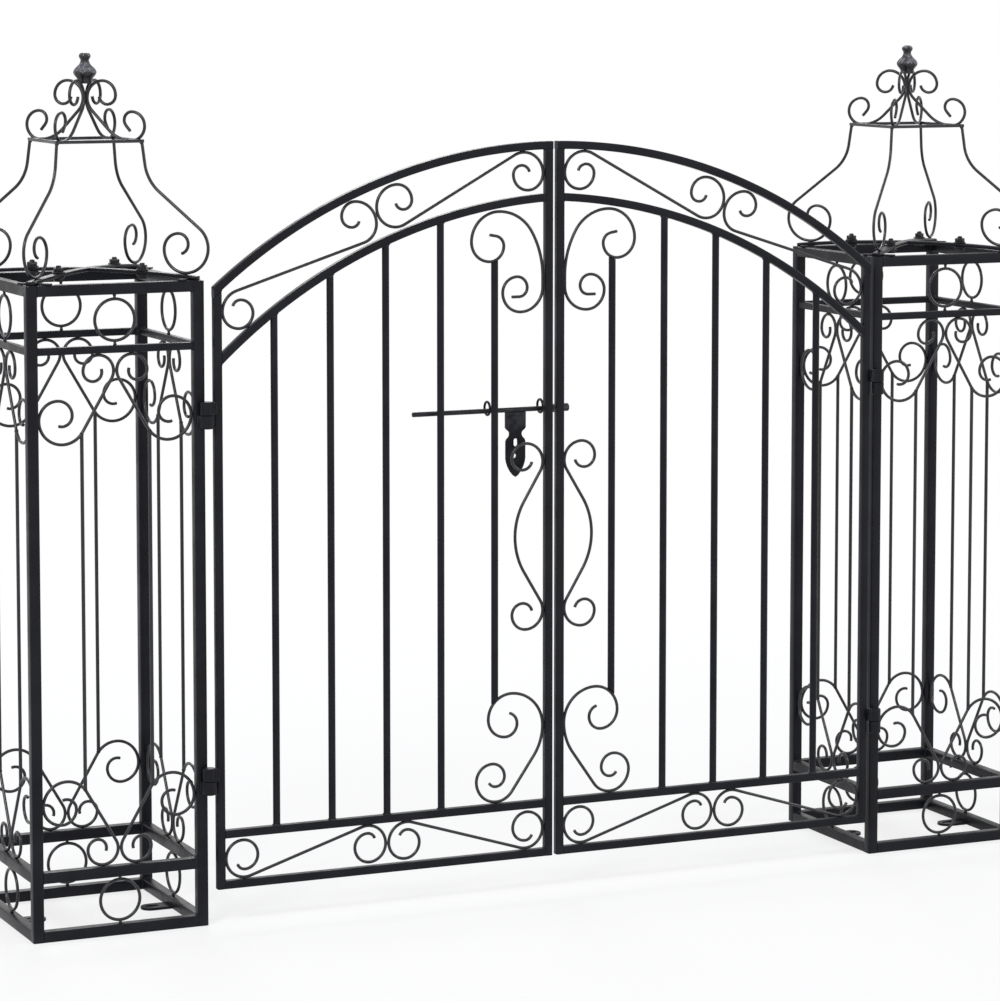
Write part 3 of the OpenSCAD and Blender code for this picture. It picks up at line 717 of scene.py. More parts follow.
def panelPlan():
    # The side scroll, the middles of its curls, and how far short of the rail the thin bar ends
    p = panelSizes
    small, big = p["smallCurl"], p["bigCurl"]
    smallAt = (gap / 2 + wire / 2 + small, -gap - wire / 2 - small)
    bigAt = (railHalf - gap - wire / 2 - big, smallAt[1] - p["rise"])
    path = scrollPath(smallAt, small, 270, innerTurns(small, p["smallTurns"], p["lastTurn"]),
                      bigAt, big, 90, innerTurns(big, p["bigTurns"], p["lastTurn"]))
    return path, smallAt, bigAt, -bigAt[1] + math.sqrt(big ** 2 - (bigAt[0] - p["barX"]) ** 2)


panelPath, smallAt, bigAt, barShort = panelPlan()


def towerPanel(bm, turn):
    p = panelSizes
    for mirror in (1, -1):
        for base, up in panelEnds:
            sweepAround(bm, [(mirror * q.x, -railOff, base + up * q.y) for q in panelPath], turn, acrossWire)
        x = mirror * p["barX"]
        ends = aroundTower([(x, -railOff, panelFloor + barShort), (x, -railOff, panelTop - barShort)], turn)
        roundBar(bm, *ends, p["bar"], turnVector((0, 1, 0), turn), 10)
    r = (p["circle"] - wire) / 2
    for low, high in circleBands:
        mid = (low + high) / 2
        sweepAround(bm, [(x, -railOff, mid + z) for x, z in circle(r, 44)], turn, acrossWire, closed=True)
        for start, end in ((mid + r, high - gap), (low + gap, mid - r)):
            stem = [(0, -railOff, start), (0, -railOff, end)]
            sweepAround(bm, stem, turn, roundProfile(p["stem"]), endCut=0)


def panelTacks(bm):
    w = panelWelds
    spots = []
    for base, up in panelEnds:
        spots.append((0, base + up * smallAt[1], w["pair"]))
        for mirror in (1, -1):
            spots.append((mirror * smallAt[0], base - up * 0.5, w["hang"]))
            spots.append((mirror * (railHalf - 0.6), base + up * bigAt[1], w["post"]))
            spots.append((mirror * panelSizes["barX"], base - up * (barShort + 0.4), w["bar"]))
    for low, high in circleBands:
        spots += [(0, low + 0.7, w["stem"]), (0, high - 0.7, w["stem"])]
    for turn in sides.values():
        for x, z, size in spots:
            tack(bm, onTower((x, -railOff, z), turn), size)


# Crowns: two crossed flats, bent legs, a ring, leaning wires, a finial

cross = {"rise": 6, "width": 10, "thick": 4, "reach": 133, "corner": 0.8, "thinner": 0.12, "footAt": 121,
         "footLength": 38, "footWidth": 8, "footThick": 2, "footCorner": 0.7, "footEdge": 0.4}
crownBolt = {"washer": 14, "washerThick": 1.5, "nut": 10, "nutThick": 4.5, "nutTurn": 12,
             "headThick": 3.5, "headTurn": 7, "stud": 6, "studOut": 2.5, "pitch": 1.0, "threadDeep": 0.34}
crown = {"ringRise": 148, "ringHalf": 48, "ringCorner": 0.45, "neck": 46, "neckTurn": 8, "lead": 25,
         "legCurl": 27, "legTurns": (0.93, 0.64, 0.42, 0.4), "legLast": 75, "rise": 20, "swell": 38,
         "perch": 16, "perchIn": 10.5, "perchTurns": (0.95, 0.57), "perchLast": 130, "meet": 45.8,
         "topCurl": 18.5, "topTurns": (0.84, 0.54, 0.54), "topLast": 80, "finialFoot": 7.5}
crownWelds = {"leg": 4.0, "neck": 4.4, "seat": 3.6, "meet": 4.2,
              "seam": 1.3, "seamFrom": 124, "seamTo": 132.4}
ringZ = g["towerHeight"] + crown["ringRise"]
ringS = crown["ringHalf"] * math.sqrt(2)
legS = g["crownReach"] - crown["legCurl"]
meetS, meetZ = (wire + gap) / math.sqrt(2), ringZ + crown["meet"]


def crossTop(s):
    # The height of the upper face of the crossed flats, at s from the middle
    c = cross
    radius = (c["reach"] ** 2 + c["rise"] ** 2) / (2 * c["rise"])
    return g["towerHeight"] + c["rise"] - radius + math.sqrt(radius ** 2 - s * s) + c["thick"]


def crownCross(bm):
    # One flat is a hair thinner, so that no two faces lie in one plane where they cross
    c = cross
    along = [-c["reach"] + 2 * c["reach"] * i / 32 for i in range(33)]
    points = [Vector((s, 0, crossTop(s) - c["thick"] / 2)) for s in along]
    for turn, thinner in ((45, 0.0), (135, c["thinner"])):
        profile = squareProfile(c["width"] - thinner, c["corner"], c["thick"] - thinner)
        sweepAround(bm, points, turn, profile)
    for turn in corners:
        crownFoot(bm, turn)


def crownFoot(bm, turn):
    # The small flat under an arm's end, with broken edges
    c = cross
    edge, low, high = c["footEdge"], g["towerHeight"] + 0.05, g["towerHeight"] + c["footThick"]
    rings = []
    for z, inset in ((low, edge), (low + edge, 0), (high - edge, 0), (high, edge)):
        width, length = c["footWidth"] - 2 * inset, c["footLength"] - 2 * inset
        profile = squareProfile(width, c["footCorner"], length, steps=2)
        rings.append(ringOf(bm, aroundTower([(c["footAt"] + p.x, p.y, z) for p in profile], turn)))
    closedSkin(bm, rings)


def crownBolts(bm):
    # A bolt through each half of each arm: washers, a nut on its threaded end above, the head below
    c = crownBolt
    washer, thick, stud = c["washer"] / 2, c["washerThick"], c["stud"] / 2
    under = -cross["thick"] - thick
    nutTop = thick + c["nutThick"]
    tip, z = nutTop + c["studOut"], nutTop - 0.5
    thread = []
    while z < tip - c["pitch"]:
        thread += [(stud - c["threadDeep"], z), (stud, z + 0.42), (stud, z + 0.55)]
        z += c["pitch"]
    thread += [(stud - 0.35, tip - 0.75), (stud - 0.9, tip - 0.25), (stud - 1.8, tip)]
    middle = cross["reach"] / 2
    for turn in corners:
        at = onTower((middle, 0, crossTop(middle)), turn)
        for low, high in ((0.02, thick), (under, -cross["thick"] - 0.02)):
            disc = [(washer - 0.3, low), (washer, low + 0.25), (washer, high - 0.25), (washer - 0.3, high)]
            turned(bm, at, disc, 36)
        hexagon(bm, at, thick - 0.01, nutTop, c["nut"], turn + c["nutTurn"])
        hexagon(bm, at, under - c["headThick"], under + 0.01, c["nut"], turn + c["headTurn"])
        turned(bm, at, thread, 24)


def crownLegs(bm):
    c = crown
    legAt = (legS, crossTop(legS) + gap + wire / 2 + c["legCurl"])
    start = Vector((ringS - 0.6, ringZ))
    low = start + unit(-90 + c["neckTurn"]) * c["lead"]
    hub = low + unit(c["neckTurn"]) * c["neck"]
    heading = tangentHeading(hub, c["neck"], legAt, -c["legCurl"])
    straight = (rimPoint(legAt, -c["legCurl"], heading) - rimPoint(hub, c["neck"], heading)).length
    bends = [(0, c["lead"]), (c["neck"], heading + 90 - c["neckTurn"]), (0, straight)]
    bends.append((c["legCurl"], -180 - heading))
    bends += toSide(-1, innerTurns(c["legCurl"], c["legTurns"], c["legLast"]))
    path = flatToSpace(wirePath(start, -90 + c["neckTurn"], bends))
    for turn in corners:
        sweepAround(bm, path, turn, acrossWire)
    half = c["ringHalf"]
    for turn in sides.values():
        ends = aroundTower([(-half - wire / 2, -half, ringZ), (half - wire / 2 + 0.3, -half, ringZ)], turn)
        squareBar(bm, *ends, wire, turnVector((0, 1, 0), turn), c["ringCorner"])


def crownWires(bm):
    # Wires that stand close together under the finial, curl out over it and lean on the ring below
    c = crown
    perchS = ringS - wire / math.sqrt(2) - c["perchIn"]
    perchZ = ringZ + wire / 2 + math.sqrt((c["perch"] + wire / 2 + gap / 2) ** 2 - c["perchIn"] ** 2)
    riseAt, swellAt = (meetS + c["rise"], meetZ), (perchS, perchZ - c["perch"] + c["swell"])
    heading = tangentHeading(riseAt, c["rise"], swellAt, c["swell"])
    straight = (rimPoint(swellAt, c["swell"], heading) - rimPoint(riseAt, c["rise"], heading)).length
    topTurns = [(c["topCurl"], 90)] + innerTurns(c["topCurl"], c["topTurns"], c["topLast"])
    up = wirePath((meetS, meetZ), 90, toSide(-1, topTurns))
    bends = [(c["rise"], 90 + heading), (0, straight), (c["swell"], -heading), (c["perch"], 90)]
    bends += innerTurns(c["perch"], c["perchTurns"], c["perchLast"]) + [(0, 8)]
    down = wirePath((meetS, meetZ), -90, bends)
    for turn in corners:
        sweepAround(bm, flatToSpace(up[::-1] + down[1:]), turn, acrossWire)


def crownTacks(bm):
    w = crownWelds
    spots = ((legS, crossTop(legS) + 0.4, w["leg"]), (ringS - 0.8, ringZ - 1.8, w["neck"]),
             (ringS - 4.2, ringZ + 2.2, w["seat"]))
    seam = [(w["seamFrom"], 0, crossTop(w["seamFrom"]) - 2), (w["seamTo"], 0, crossTop(132) - 2)]
    for turn in corners:
        for s, z, size in spots:
            tack(bm, onTower((s, 0, z), turn), size)
        start, end = aroundTower(seam, turn)
        for side in (-1, 1):
            shift = turnVector((0, side * cross["width"] / 2, 0), turn)
            bead(bm, start + shift, end + shift, w["seam"], (0, 0, 1))
    for z in (meetZ - 4, meetZ + 3):
        tack(bm, towerMid + Vector((0, 0, z)), w["meet"])


finial = {"sides": 120, "flutes": 12, "fluteDepth": 1.25, "fluteFrom": 9.5, "fluteTo": 25}
finialOutline = [
    (7.2, 0), (7.5, 0.4), (7.6, 1.6), (7.8, 3.3), (8.3, 4.9), (9.2, 6.3), (10.3, 7.6), (11.3, 8.8),
    (12.2, 10.2), (12.6, 11.6), (12.55, 12.7), (12.1, 14.0), (11.2, 15.5), (9.8, 17.1), (8.0, 18.7),
    (6.6, 20.1), (5.6, 21.5), (4.95, 23.0), (4.65, 24.2), (4.6, 25.3), (4.85, 26.1), (5.4, 26.9),
    (6.0, 27.8), (6.35, 28.7), (6.4, 29.6), (6.3, 30.5), (5.9, 31.5), (5.2, 32.3), (4.2, 32.95),
    (3.0, 33.3), (1.6, 33.45), (0.5, 33.5),
]


def fluted(radius, angle, height):
    # The flutes fade out towards both ends
    f = finial
    low, high = f["fluteFrom"], f["fluteTo"]
    if not low < height < high:
        return radius
    fade = math.sin(math.pi * (height - low) / (high - low))
    return radius - f["fluteDepth"] * fade * (0.5 + 0.5 * math.cos(f["flutes"] * angle))


def crownFinial(bm):
    # It sits on the top curls of the four wires, at the height where its foot meets them
    c = crown
    lift = math.sqrt((c["topCurl"] + wire / 2 + gap) ** 2 - (meetS + c["topCurl"] - c["finialFoot"]) ** 2)
    turned(bm, towerMid + Vector((0, 0, meetZ + lift)), finialOutline, finial["sides"], shape=fluted)


# Hinges

hingeLook = {"outerEdge": 1.2, "innerEdge": 0.5, "sides": 40,
             "pin": [(3.5, -1), (3.5, 9.5), (2.9, 10.4)], "pinSides": 20,
             "postTab": 8.0, "postTabX": -3.2, "postTabZ": (-14.1, -0.4), "postTabCorner": 0.7,
             "leafTab": 13.6, "leafTabDeep": 7.0, "leafTabY": -1.25, "leafTabZ": 7.3, "leafTabCorner": 0.8,
             "postBead": 1.5, "postBeadX": (-7.2, 0.6), "postBeadZ": (-13.2, -1.2),
             "leafBead": 1.2, "leafBeadY": (-4.7, 2.2), "leafBeadZ": (1.6, 13.6)}


def barrelHalf(bm, at, low, high, lowEdge, highEdge):
    r = g["barrel"] / 2
    outline = [(r - lowEdge, low), (r, low + lowEdge), (r, high - highEdge), (r - highEdge, high)]
    turned(bm, at, outline, hingeLook["sides"])


def hingePins(bm):
    h = hingeLook
    wide = g["barrel"] / 2 + 1
    for z in g["hingeHeights"]:
        at = hinge + Vector((0, 0, z))
        barrelHalf(bm, at, -g["barrelHeight"] / 2, -0.05, h["outerEdge"], h["innerEdge"])
        turned(bm, at, h["pin"], h["pinSides"])
        ends = [at + Vector((h["postTabX"], wide / 2 + 1.2, end)) for end in h["postTabZ"]]
        squareBar(bm, *ends, h["postTab"], (1, 0, 0), h["postTabCorner"], wide - 2.6)


def hingeKnuckles(bm):
    h = hingeLook
    for z in g["hingeHeights"]:
        at = hinge + Vector((0, 0, z + 0.3))
        barrelHalf(bm, at, 0.05, g["barrelHeight"] / 2, h["innerEdge"], h["outerEdge"])
        ends = [at + Vector((x, h["leafTabY"], h["leafTabZ"])) for x in (2.0, leafOut - hinge.x + 0.2)]
        squareBar(bm, *ends, h["leafTab"], (0, 0, 1), h["leafTabCorner"], h["leafTabDeep"])


def hingeBeads(bm, places, heights, radius):
    for z in g["hingeHeights"]:
        for x, y in places:
            ends = [hinge + Vector((x, y, z + height)) for height in heights]
            bead(bm, *ends, radius, (1, 0, 0))


def pinBeads(bm):
    h = hingeLook
    hingeBeads(bm, [(x, frontY - hinge.y - 0.5) for x in h["postBeadX"]], h["postBeadZ"], h["postBead"])


def knuckleBeads(bm):
    h = hingeLook
    hingeBeads(bm, [(leafOut - hinge.x - 0.2, y) for y in h["leafBeadY"]], h["leafBeadZ"], h["leafBead"])


# Leaves

leafLook = {"corner": 1.2, "tuck": 0.4, "archSteps": 90, "archThinner": 0.06, "barSides": 24}


def leafFrame(bm):
    side, corner, tuck = g["leafSide"], leafLook["corner"], leafLook["tuck"]
    for x in (leafOut + side / 2, stileIn + side / 2):
        # The stile's top follows the arch above it
        top = heightAt(x, archMid, archR - side)
        before = len(bm.verts)
        squareBar(bm, (x, leafY, g["leafZ"]), (x, leafY, top), side, (1, 0, 0), corner)
        bm.verts.ensure_lookup_table()
        for vert in bm.verts[before:]:
            if vert.co.z > (top - 2) * mm:
                vert.co.z += (heightAt(vert.co.x / mm, archMid, archR - side) + tuck - top) * mm
    for z in (g["leafZ"] + side / 2, midRailZ + side / 2):
        squareBar(bm, (stileOut - tuck, leafY, z), (stileIn + tuck, leafY, z), side, (0, 1, 0), corner)


def leafArches(bm):
    side, count = g["leafSide"], leafLook["archSteps"]
    profile = squareProfile(side - leafLook["archThinner"], leafLook["corner"], side)
    r = archR - side / 2
    for middle, x0, x1 in ((archMid, leafOut, leafIn), (lowMid, stileOut, stileIn)):
        a0, a1 = (math.acos((x - middle.x) / r) for x in (x0, x1))
        turns = [a0 + (a1 - a0) * i / count for i in range(count + 1)]
        points = [(middle.x + r * math.cos(a), leafY, middle.y + r * math.sin(a)) for a in turns]
        sweep(bm, points, (0, 1, 0), profile, cutX=(x0, x1))


# The curls beside the inner stile, and the short bar between them
sideCurls = {
    "top": 33 * bayScale, "topShares": (0.667, 0.515, 0.342), "topLast": 80, "topAway": 53.5 * bayScale,
    "over": [(46 * bayScale, -60), (100 * bayScale, -30), (0, 12)], "hook": 27,
    "hookShares": (0.81, 0.65, 0.46, 0.37), "hookLast": 90,
    "low": 38.5 * bayScale, "lowShares": (0.727, 0.538, 0.377, 0.325), "lowLast": 75, "lowZ": 190,
    "lowCurl": 24, "lowCurlShares": (0.81, 0.63, 0.46, 0.38), "lowCurlLast": 60, "lowBow": 60, "lowLean": 35,
}
ogee = {"z": 405, "bow": 78, "bowOut": 34, "end": 21, "endRise": 84,
        "shares": (0.8, 0.62, 0.57), "last": 75}
sideX = stileIn - gap - wire / 2
topScroll = Vector((sideX - sideCurls["topAway"], 0))
topScroll.y = heightAt(topScroll.x - 8, lowMid, archR - g["leafSide"]) - wire / 2 - 0.8
firstShare, secondShare = sideCurls["topShares"][:2]
upperTurnR = sideCurls["top"] * secondShare
upperTurn = topScroll - sideCurls["top"] * Vector((1 - firstShare, 1 + firstShare - secondShare))
lowerTurnR = sideCurls["low"] * sideCurls["lowShares"][0]
lowerTurn = Vector((sideX - sideCurls["low"], sideCurls["lowZ"] + sideCurls["low"] - lowerTurnR))


def shortBar(bm):
    # Its two ends are hollowed to the curls under and over it
    room, x = wire / 2 + gap, barX(5)
    rings = []
    for share in (0, 0.02, 0.25, 0.5, 0.75, 0.98, 1):
        spots = []
        for p in roundProfile(g["barWidth"], leafLook["barSides"]):
            low = heightAt(x + p.x, lowerTurn, lowerTurnR + room)
            top = upperTurn.y - math.sqrt((upperTurnR + room) ** 2 - (x + p.x - upperTurn.x) ** 2)
            spots.append((x + p.x, leafY - p.y, low + (top - low) * share))
        rings.append(ringOf(bm, spots))
    closedSkin(bm, rings)
    bmesh.ops.recalc_face_normals(bm, faces=bm.faces)


def leafBars(bm):
    shortBar(bm)
    for x in map(barX, range(1, 5)):
        top = heightAt(x, lowMid, archR - g["leafSide"] / 2)
        foot = barsZ - leafLook["tuck"]
        roundBar(bm, (x, leafY, foot), (x, leafY, top), g["barWidth"], (1, 0, 0), leafLook["barSides"])


# Each curl between the arches: its radius, and the shares of its inner turns
archCurls = ((23.5, (0.79, 0.7, 0.62, 0.38)), (21, (1.19, 0.76, 0.58, 0.42)),
             (22.4, (1.08, 0.78, 0.45, 0.42)), (23.5, (0.79, 0.75, 0.43, 0.42)))
archCurlPlaces = {"last": 75, "secondFromBar": 35.3, "thirdAngle": 21}


def archScrolls():
    radii = [radius for radius, _ in archCurls]
    inner = [radius * shares[0] for radius, shares in archCurls]
    turns = [innerTurns(radius, shares, archCurlPlaces["last"]) for radius, shares in archCurls]
    room = wire / 2 + gap

    def hung(x, r):
        return Vector((x, heightAt(x, archMid, archR - g["leafSide"] - r - wire / 2 - gap)))

    def seated(x, r):
        return Vector((x, heightAt(x, lowMid, archR + r + wire / 2 + gap)))

    firstX, lastX = stileOut + radii[0] + room, stileIn - radii[3] - room
    first = Vector((firstX, seated(firstX - radii[0] + inner[0], inner[0]).y))
    second = hung(barX(3) - archCurlPlaces["secondFromBar"] * bayScale, inner[1])
    third = second + unit(archCurlPlaces["thirdAngle"]) * (inner[1] + radii[2] + wire + gap)
    second += Vector((inner[1] - radii[1], 0))
    return [scrollPath(first, -radii[0], 90, turns[0], second, radii[1], 90, turns[1]),
            scrollPath(third, radii[2], 90, turns[2], hung(lastX, radii[3]), -radii[3], 90, turns[3])]


footCurls = {"shares": (0.9, 0.8, 0.7, 0.42), "last": 70}


def footScrolls():
    r = (g["footBand"] - wire) / 2 - gap
    room = r + wire / 2 + gap
    middle, across = footZ + g["footBand"] / 2, stileOut + stileIn
    turns = innerTurns(r, footCurls["shares"], footCurls["last"])
    path = scrollPath((stileOut + room, middle), r, 90, turns, (across / 2 - room, middle), -r, 90, turns)
    return [path, [Vector((across - p.x, p.y)) for p in path]]


def sideScrolls():
    c = sideCurls
    turns = [(c["top"], 90)] + innerTurns(c["top"], c["topShares"], c["topLast"]) + [(0, 8)]
    left = wirePath(topScroll, 180, turns)
    hook = [(c["hook"], 90)] + innerTurns(c["hook"], c["hookShares"], c["hookLast"]) + [(0, 9)]
    upper = wirePath(topScroll, 0, c["over"] + toSide(-1, hook))

    # The wire that bows from the stile and curls at both ends, the lower half the mirror of the upper
    o = ogee
    bowAt = (sideX - o["bowOut"] + o["bow"], o["z"])
    endAt = (sideX - o["end"], o["z"] + o["endRise"])
    heading = tangentHeading(bowAt, -o["bow"], endAt, o["end"])
    start, leave = rimPoint(bowAt, -o["bow"], heading), rimPoint(endAt, o["end"], heading)
    bends = [(0, (leave - start).length), (o["end"], 180 - heading)]
    rise = wirePath(start, heading, bends + innerTurns(o["end"], o["shares"], o["last"]))
    fall = [Vector((p.x, 2 * o["z"] - p.y)) for p in rise]
    bow = wirePath(fall[0], 180 - heading, [(o["bow"], 2 * heading - 180)])

    turns = [(c["low"], 90)] + innerTurns(c["low"], c["lowShares"], c["lowLast"])
    upCurl = wirePath((sideX, c["lowZ"]), 90, turns)
    lean, bend, curl = math.radians(c["lowLean"]), c["lowBow"], c["lowCurl"]
    rest = barsZ + gap + wire / 2 + curl * (1 - math.sin(lean))
    run = (c["lowZ"] - bend * math.sin(lean) - rest) / math.cos(lean)
    bends = [(bend, c["lowLean"]), (0, run), (curl, 180 - c["lowLean"])]
    bends += innerTurns(curl, c["lowCurlShares"], c["lowCurlLast"])
    downCurl = wirePath((sideX, c["lowZ"]), -90, toSide(-1, bends))
    return [left[::-1] + upper[1:], fall[::-1] + bow[1:-1] + rise, upCurl[::-1] + downCurl[1:]]


leafScrolls = {"arch": archScrolls(), "foot": footScrolls(), "side": sideScrolls()}


def leafWires(bm, paths):
    for path in paths:
        sweep(bm, flatToSpace(path, leafY), (0, 1, 0), acrossWire)


# The leaves' welds

leafWelds = {"tack": 3.2, "near": 0.7, "apart": 9, "around": 6, "beadShort": 1, "railBead": 1.2,
             "backBead": 1.1, "archBead": 1.3, "ring": 4.1, "ringWire": 1.9}


def nearest(place, line):
    best = None
    for a, b in zip(line, line[1:]):
        side = b - a
        t = min(1, max(0, (place - a).dot(side) / side.length_squared))
        there = a + side * t
        if best is None or (place - there).length < (place - best).length:
            best = there
    return best


def meetings(paths, edges):
    # Where a wire comes up against another wire, or against an edge: the places between the two
    w = leafWelds
    found = []
    for i, path in enumerate(paths):
        lines = [(other, wire) for other in paths[i + 1:]] + [(edge, wire / 2) for edge in edges]
        for line, reach in lines:
            there = [nearest(p, line) for p in path]
            apart = [(p - q).length - reach for p, q in zip(path, there)]
            for k, distance in enumerate(apart):
                around = apart[max(0, k - w["around"]):k + w["around"] + 1]
                if distance < w["near"] and distance == min(around):
                    spot = path[k] + (there[k] - path[k]).normalized() * (wire / 2)
                    if all((spot - other).length > w["apart"] for other in found):
                        found.append(spot)
    return found


def leafEdges():
    # The edges that the leaf's wires are welded to: arches, uprights and levels
    side = g["leafSide"]
    columns = range(round(stileOut), round(stileIn) + 1, 3)
    arcs = ((archMid, archR - side), (lowMid, archR), (lowMid, archR - side))
    edges = [[Vector((x, heightAt(x, middle, radius))) for x in columns] for middle, radius in arcs]
    for x in (stileOut, stileIn, barX(4) + g["barWidth"] / 2):
        edges.append([Vector((x, z)) for z in (60, 200, 400, 640)])
    for z in (footZ, midRailZ, barsZ):
        edges.append([Vector((stileOut, z)), Vector((stileIn, z))])
    return edges


def leafTacks(bm):
    edges = leafEdges()
    spots = []
    for paths in leafScrolls.values():
        spots += meetings(paths, edges)
    x = barX(5)
    for middle, radius, side in ((lowerTurn, lowerTurnR, 1), (upperTurn, upperTurnR, -1)):
        rise = math.sqrt((radius + wire / 2) ** 2 - (x - middle.x) ** 2)
        spots.append(Vector((x, middle.y + side * rise)))
    for spot in spots:
        tack(bm, (spot.x, leafY, spot.y), leafWelds["tack"])


def leafBeads(bm):
    w, side = leafWelds, g["leafSide"]
    run = side / 2 - w["beadShort"]

    def seam(x, z, radius):
        bead(bm, (x, leafY - run, z), (x, leafY + run, z), radius, (0, 0, 1))

    for z in (g["leafZ"], midRailZ):
        for x in (stileOut, stileIn):
            for level in (z, z + side):
                if level > g["leafZ"] + 1:
                    seam(x, level, w["railBead"])
            ends = [(x, leafBack - 0.2, height) for height in (z + 1.2, z + side - 1.2)]
            bead(bm, *ends, w["backBead"], (1, 0, 0))
    for middle in (archMid, lowMid):
        for x in (stileOut, stileIn):
            seam(x, heightAt(x, middle, archR - side), w["archBead"])
    for x in map(barX, range(1, 5)):
        # A ring of weld round both ends of the bar: level on the rail, sloping along the arch
        top = heightAt(x, lowMid, archR - side)
        for z, slope in ((barsZ + 0.3, 0), (top - 0.2, -(x - lowMid.x) / (top - lowMid.y))):
            rng = random.Random(next(weldSeeds))
            ring = [(x + off, leafY + deep, z + off * slope) for off, deep in circle(w["ring"], 18)]
            scales = [rng.uniform(0.8, 1.15) for _ in ring]
            sweep(bm, ring, (0, 0, 1), roundProfile(w["ringWire"], 6), closed=True, scales=scales)


# Sliding bolt

boltSizes = {"rod": 5.5, "rodZ": 547, "rodLength": 166, "tipOut": 2.5, "eyeWire": 2.8, "eyeR": 7.4,
             "eyePlay": 0.3, "keeper": 9, "keeperLength": 21.5, "keeperWall": 2.5, "keeperPlay": 0.75,
             "plateX": -41, "plateThick": 3, "plateEdge": 0.4}
rodY = leafBack + gap + boltSizes["eyeR"] + boltSizes["eyeWire"] / 2
rodTip = leafIn + boltSizes["tipOut"]


def boltRod(bm):
    r, length = boltSizes["rod"] / 2, boltSizes["rodLength"]
    outline = [(r - 0.8, 0), (r - 0.2, 0.35), (r, 1.0)]
    outline += [(r, length * t / 20) for t in range(1, 20)]
    outline += [(r, length - 2.0), (r - 0.45, length - 0.8), (r - 1.3, length - 0.1)]
    turned(bm, (rodTip - length, rodY, boltSizes["rodZ"]), outline, 24, axis="X")


def boltEyes(bm):
    b = boltSizes
    z = b["rodZ"] + b["eyeR"] - b["eyeWire"] / 2 - b["rod"] / 2 - b["eyePlay"]
    for x in (barX(5) - 3, stileIn + 1):
        ring = [(x, rodY + off, z + up) for off, up in circle(b["eyeR"], 40)]
        sweep(bm, ring, (1, 0, 0), roundProfile(b["eyeWire"]), closed=True)


def boltKeeper(bm):
    # A tube for the rod's tip, and the block that carries it, hollowed where the tube's wall covers it
    b = boltSizes
    r, start, length = b["keeper"] / 2, g["partingGap"] / 2, b["keeperLength"]
    bore = b["rod"] / 2 + b["keeperPlay"]
    outline = [(bore, length - b["keeperWall"]), (bore, 0.4), (bore + 0.3, 0.05)]
    outline += [(r - 0.35, 0.05), (r, 0.4), (r, length - 0.6), (r - 0.6, length)]
    turned(bm, (start, rodY, b["rodZ"]), outline, 32, axis="X")
    half, wall, bevel = r - 0.15, bore + 0.5, 0.4
    back, neck = leafBack + gap, rodY - 0.3
    hollow = [Vector((rodY, 0)) + unit(a) * wall for a in range(100, 261, 20)]
    edge = [(back, half), (neck, half)] + hollow + [(neck, -half), (back, -half)]
    low, high, narrow = start + 0.3, start + g["leafSide"] - 0.3, 1 - bevel / half
    rings = []
    for x, share in ((low, narrow), (low + bevel, 1), (high - bevel, 1), (high, narrow)):
        rings.append(ringOf(bm, [(x, y, b["rodZ"] + z * share) for y, z in edge]))
    closedSkin(bm, rings)
    bmesh.ops.recalc_face_normals(bm, faces=bm.faces)


# The right half of the hasp plate's edge, down from the rod, and its two holes: x, z, half run, radius
haspEdge = [(12.5, 0), (12.5, -17), (10.6, -19.4), (8.4, -21), (7.5, -22.5), (7.5, -25.5), (8.6, -28),
            (10.9, -30), (12, -32.6), (12, -52), (11.2, -56.5), (9.4, -61.6), (6.6, -66.6), (3.2, -70.8)]
haspTip = -73
haspSlot, haspHole = (0, -34, 2.0, 2.5), (-1.5, -49, 0.01, 2.5)
haspRim = {"out": 1.1, "side": 1.5, "corner": 0.4}


def slotLoop(x, z, halfRun, radius, steps=8):
    loop = []
    for middle, start in ((Vector((x, z + halfRun)), 0), (Vector((x, z - halfRun)), 180)):
        loop += [middle + unit(start + 180 * i / steps) * radius for i in range(steps + 1)]
    return loop


def boltPlate(bm):
    b = boltSizes
    x0, z0 = b["plateX"], b["rodZ"] - b["rod"] / 2
    half, edge = b["plateThick"] / 2, b["plateEdge"]
    right = [Vector(p) for p in haspEdge]
    left = [Vector((-p.x, p.y)) for p in right]
    outer = left[:1] + right + [Vector((0, haspTip))] + left[:0:-1]
    holes = [slotLoop(*haspSlot), slotLoop(*haspHole)]

    def inPlate(loop, y):
        return [(x0 + p.x, y, z0 + p.y) for p in loop]

    def flatFace(y, facing):
        # One face of the plate with its holes, filled with triangles
        loops = [drawnIn(outer, edge)] + [drawnIn(hole, -edge) for hole in holes]
        rows = [ringOf(bm, inPlate(loop, y)) for loop in loops]
        edges = [bm.edges.new((row[i - 1], row[i])) for row in rows for i in range(len(row))]
        filled = bmesh.ops.triangle_fill(bm, edges=edges, use_beauty=True, normal=(0, facing, 0))
        for face in filled["geom"]:
            if isinstance(face, bmesh.types.BMFace) and face.normal.y * facing < 0:
                face.normal_flip()
        return rows

    front, back = flatFace(rodY - half, -1), flatFace(rodY + half, 1)
    for index, loop in enumerate([outer] + holes):
        rims = [ringOf(bm, inPlate(loop, y)) for y in (rodY - half + edge, rodY + half - edge)]
        bridge(bm, [front[index]] + rims + [back[index]])

    # A raised rim round the slot on the face to the front
    x, z, halfRun, radius = haspSlot
    rim = inPlate(slotLoop(x, z, halfRun, radius + haspRim["out"], 12), rodY - half)
    sweep(bm, rim, (0, 1, 0), squareProfile(haspRim["side"], haspRim["corner"]), closed=True)
    bmesh.ops.recalc_face_normals(bm, faces=bm.faces)


# Making the pieces

def leafSeams(bm):
    knuckleBeads(bm)
    leafBeads(bm)
    leafTacks(bm)


def scrollsOf(name):
    return lambda bm: leafWires(bm, leafScrolls[name])


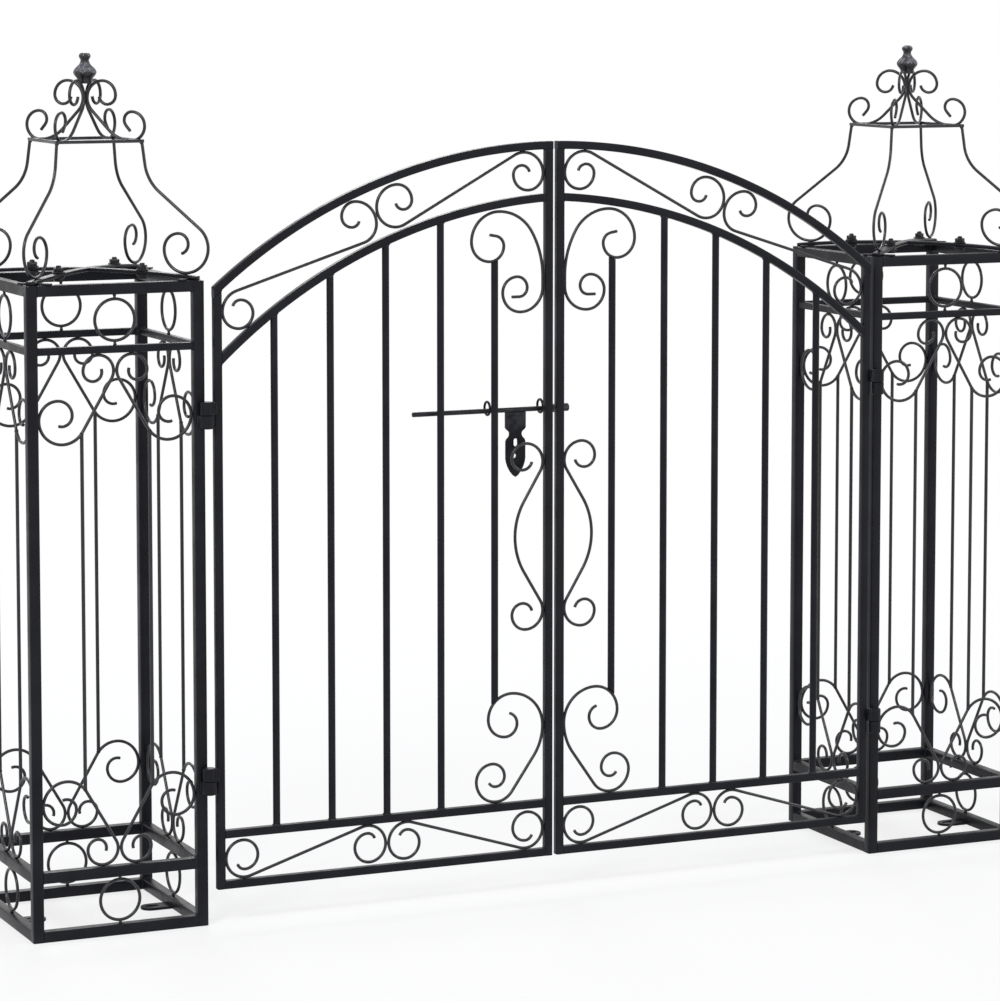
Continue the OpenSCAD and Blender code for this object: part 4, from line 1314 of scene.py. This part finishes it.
# Name, paint, maker, and the end of the cad node's name
crownPieces = (
    ("CrownCross", "gatePaint", crownCross, "_crown_cross"),
    ("CrownBolts", "boltPaint", crownBolts),
    ("CrownLegs", "wirePaint", crownLegs, "_crown_cage"),
    ("CrownWires", "wirePaint", crownWires, "_crown_scrolls"),
    ("CrownWelds", "weldPaint", crownTacks),
    ("Finial", "castPaint", crownFinial, "_finial"),
    ("HingePins", "gatePaint", hingePins, "_hinge_pins"),
    ("HingePinWelds", "weldPaint", pinBeads),
)
leafPieces = (
    ("LeafFrame", "gatePaint", leafFrame, "_leaf_frame"),
    ("LeafArches", "gatePaint", leafArches, "_leaf_arches"),
    ("LeafBars", "gatePaint", leafBars, "_leaf_bars"),
    ("ArchScrolls", "wirePaint", scrollsOf("arch"), "_leaf_arch_scrolls"),
    ("FootScrolls", "wirePaint", scrollsOf("foot"), "_leaf_foot_scrolls"),
    ("SideScrolls", "wirePaint", scrollsOf("side"), "_leaf_side_scrolls"),
    ("Knuckles", "gatePaint", hingeKnuckles, "_leaf_hinges"),
    ("LeafWelds", "weldPaint", leafSeams),
)


def makeHalf(half, body, pieces):
    for name, paint, maker, *cadNames in pieces:
        makePiece(half + name, body, paint, maker, *[half + cadName for cadName in cadNames])


for half in ("left", "right"):
    tower = half + "_tower_"
    makePiece(half + "Posts", "towers", "gatePaint", towerPosts, tower + "posts")
    for label, (cadName, levels) in railSets.items():
        makePiece(half + label, "towers", "gatePaint", lambda bm: towerRails(bm, levels), tower + cadName)
        makePiece(half + label + "Welds", "towers", "weldPaint", lambda bm: towerBeads(bm, levels))
    for label, turn in sides.items():
        name = half + label.title() + "Panel"
        makePiece(name, "towers", "wirePaint", lambda bm: towerPanel(bm, turn), tower + label + "_panel")
    makePiece(half + "PanelWelds", "towers", "weldPaint", panelTacks)
print("towers made")

for half in ("left", "right"):
    makeHalf(half, "towers", crownPieces)
print("crowns and hinge pins made")

for half in ("left", "right"):
    makeHalf(half, half + "_leaf", leafPieces)
print("leaves made")

makePiece("boltEyes", "left_leaf", "gatePaint", boltEyes, "bolt_eyes")
makePiece("boltKeeper", "right_leaf", "boltPaint", boltKeeper, "bolt_keeper")
makePiece("boltRod", "bolt", "boltPaint", boltRod, "bolt_rod")
makePiece("boltPlate", "bolt", "gatePaint", boltPlate, "bolt_plate")
print("bolt made")
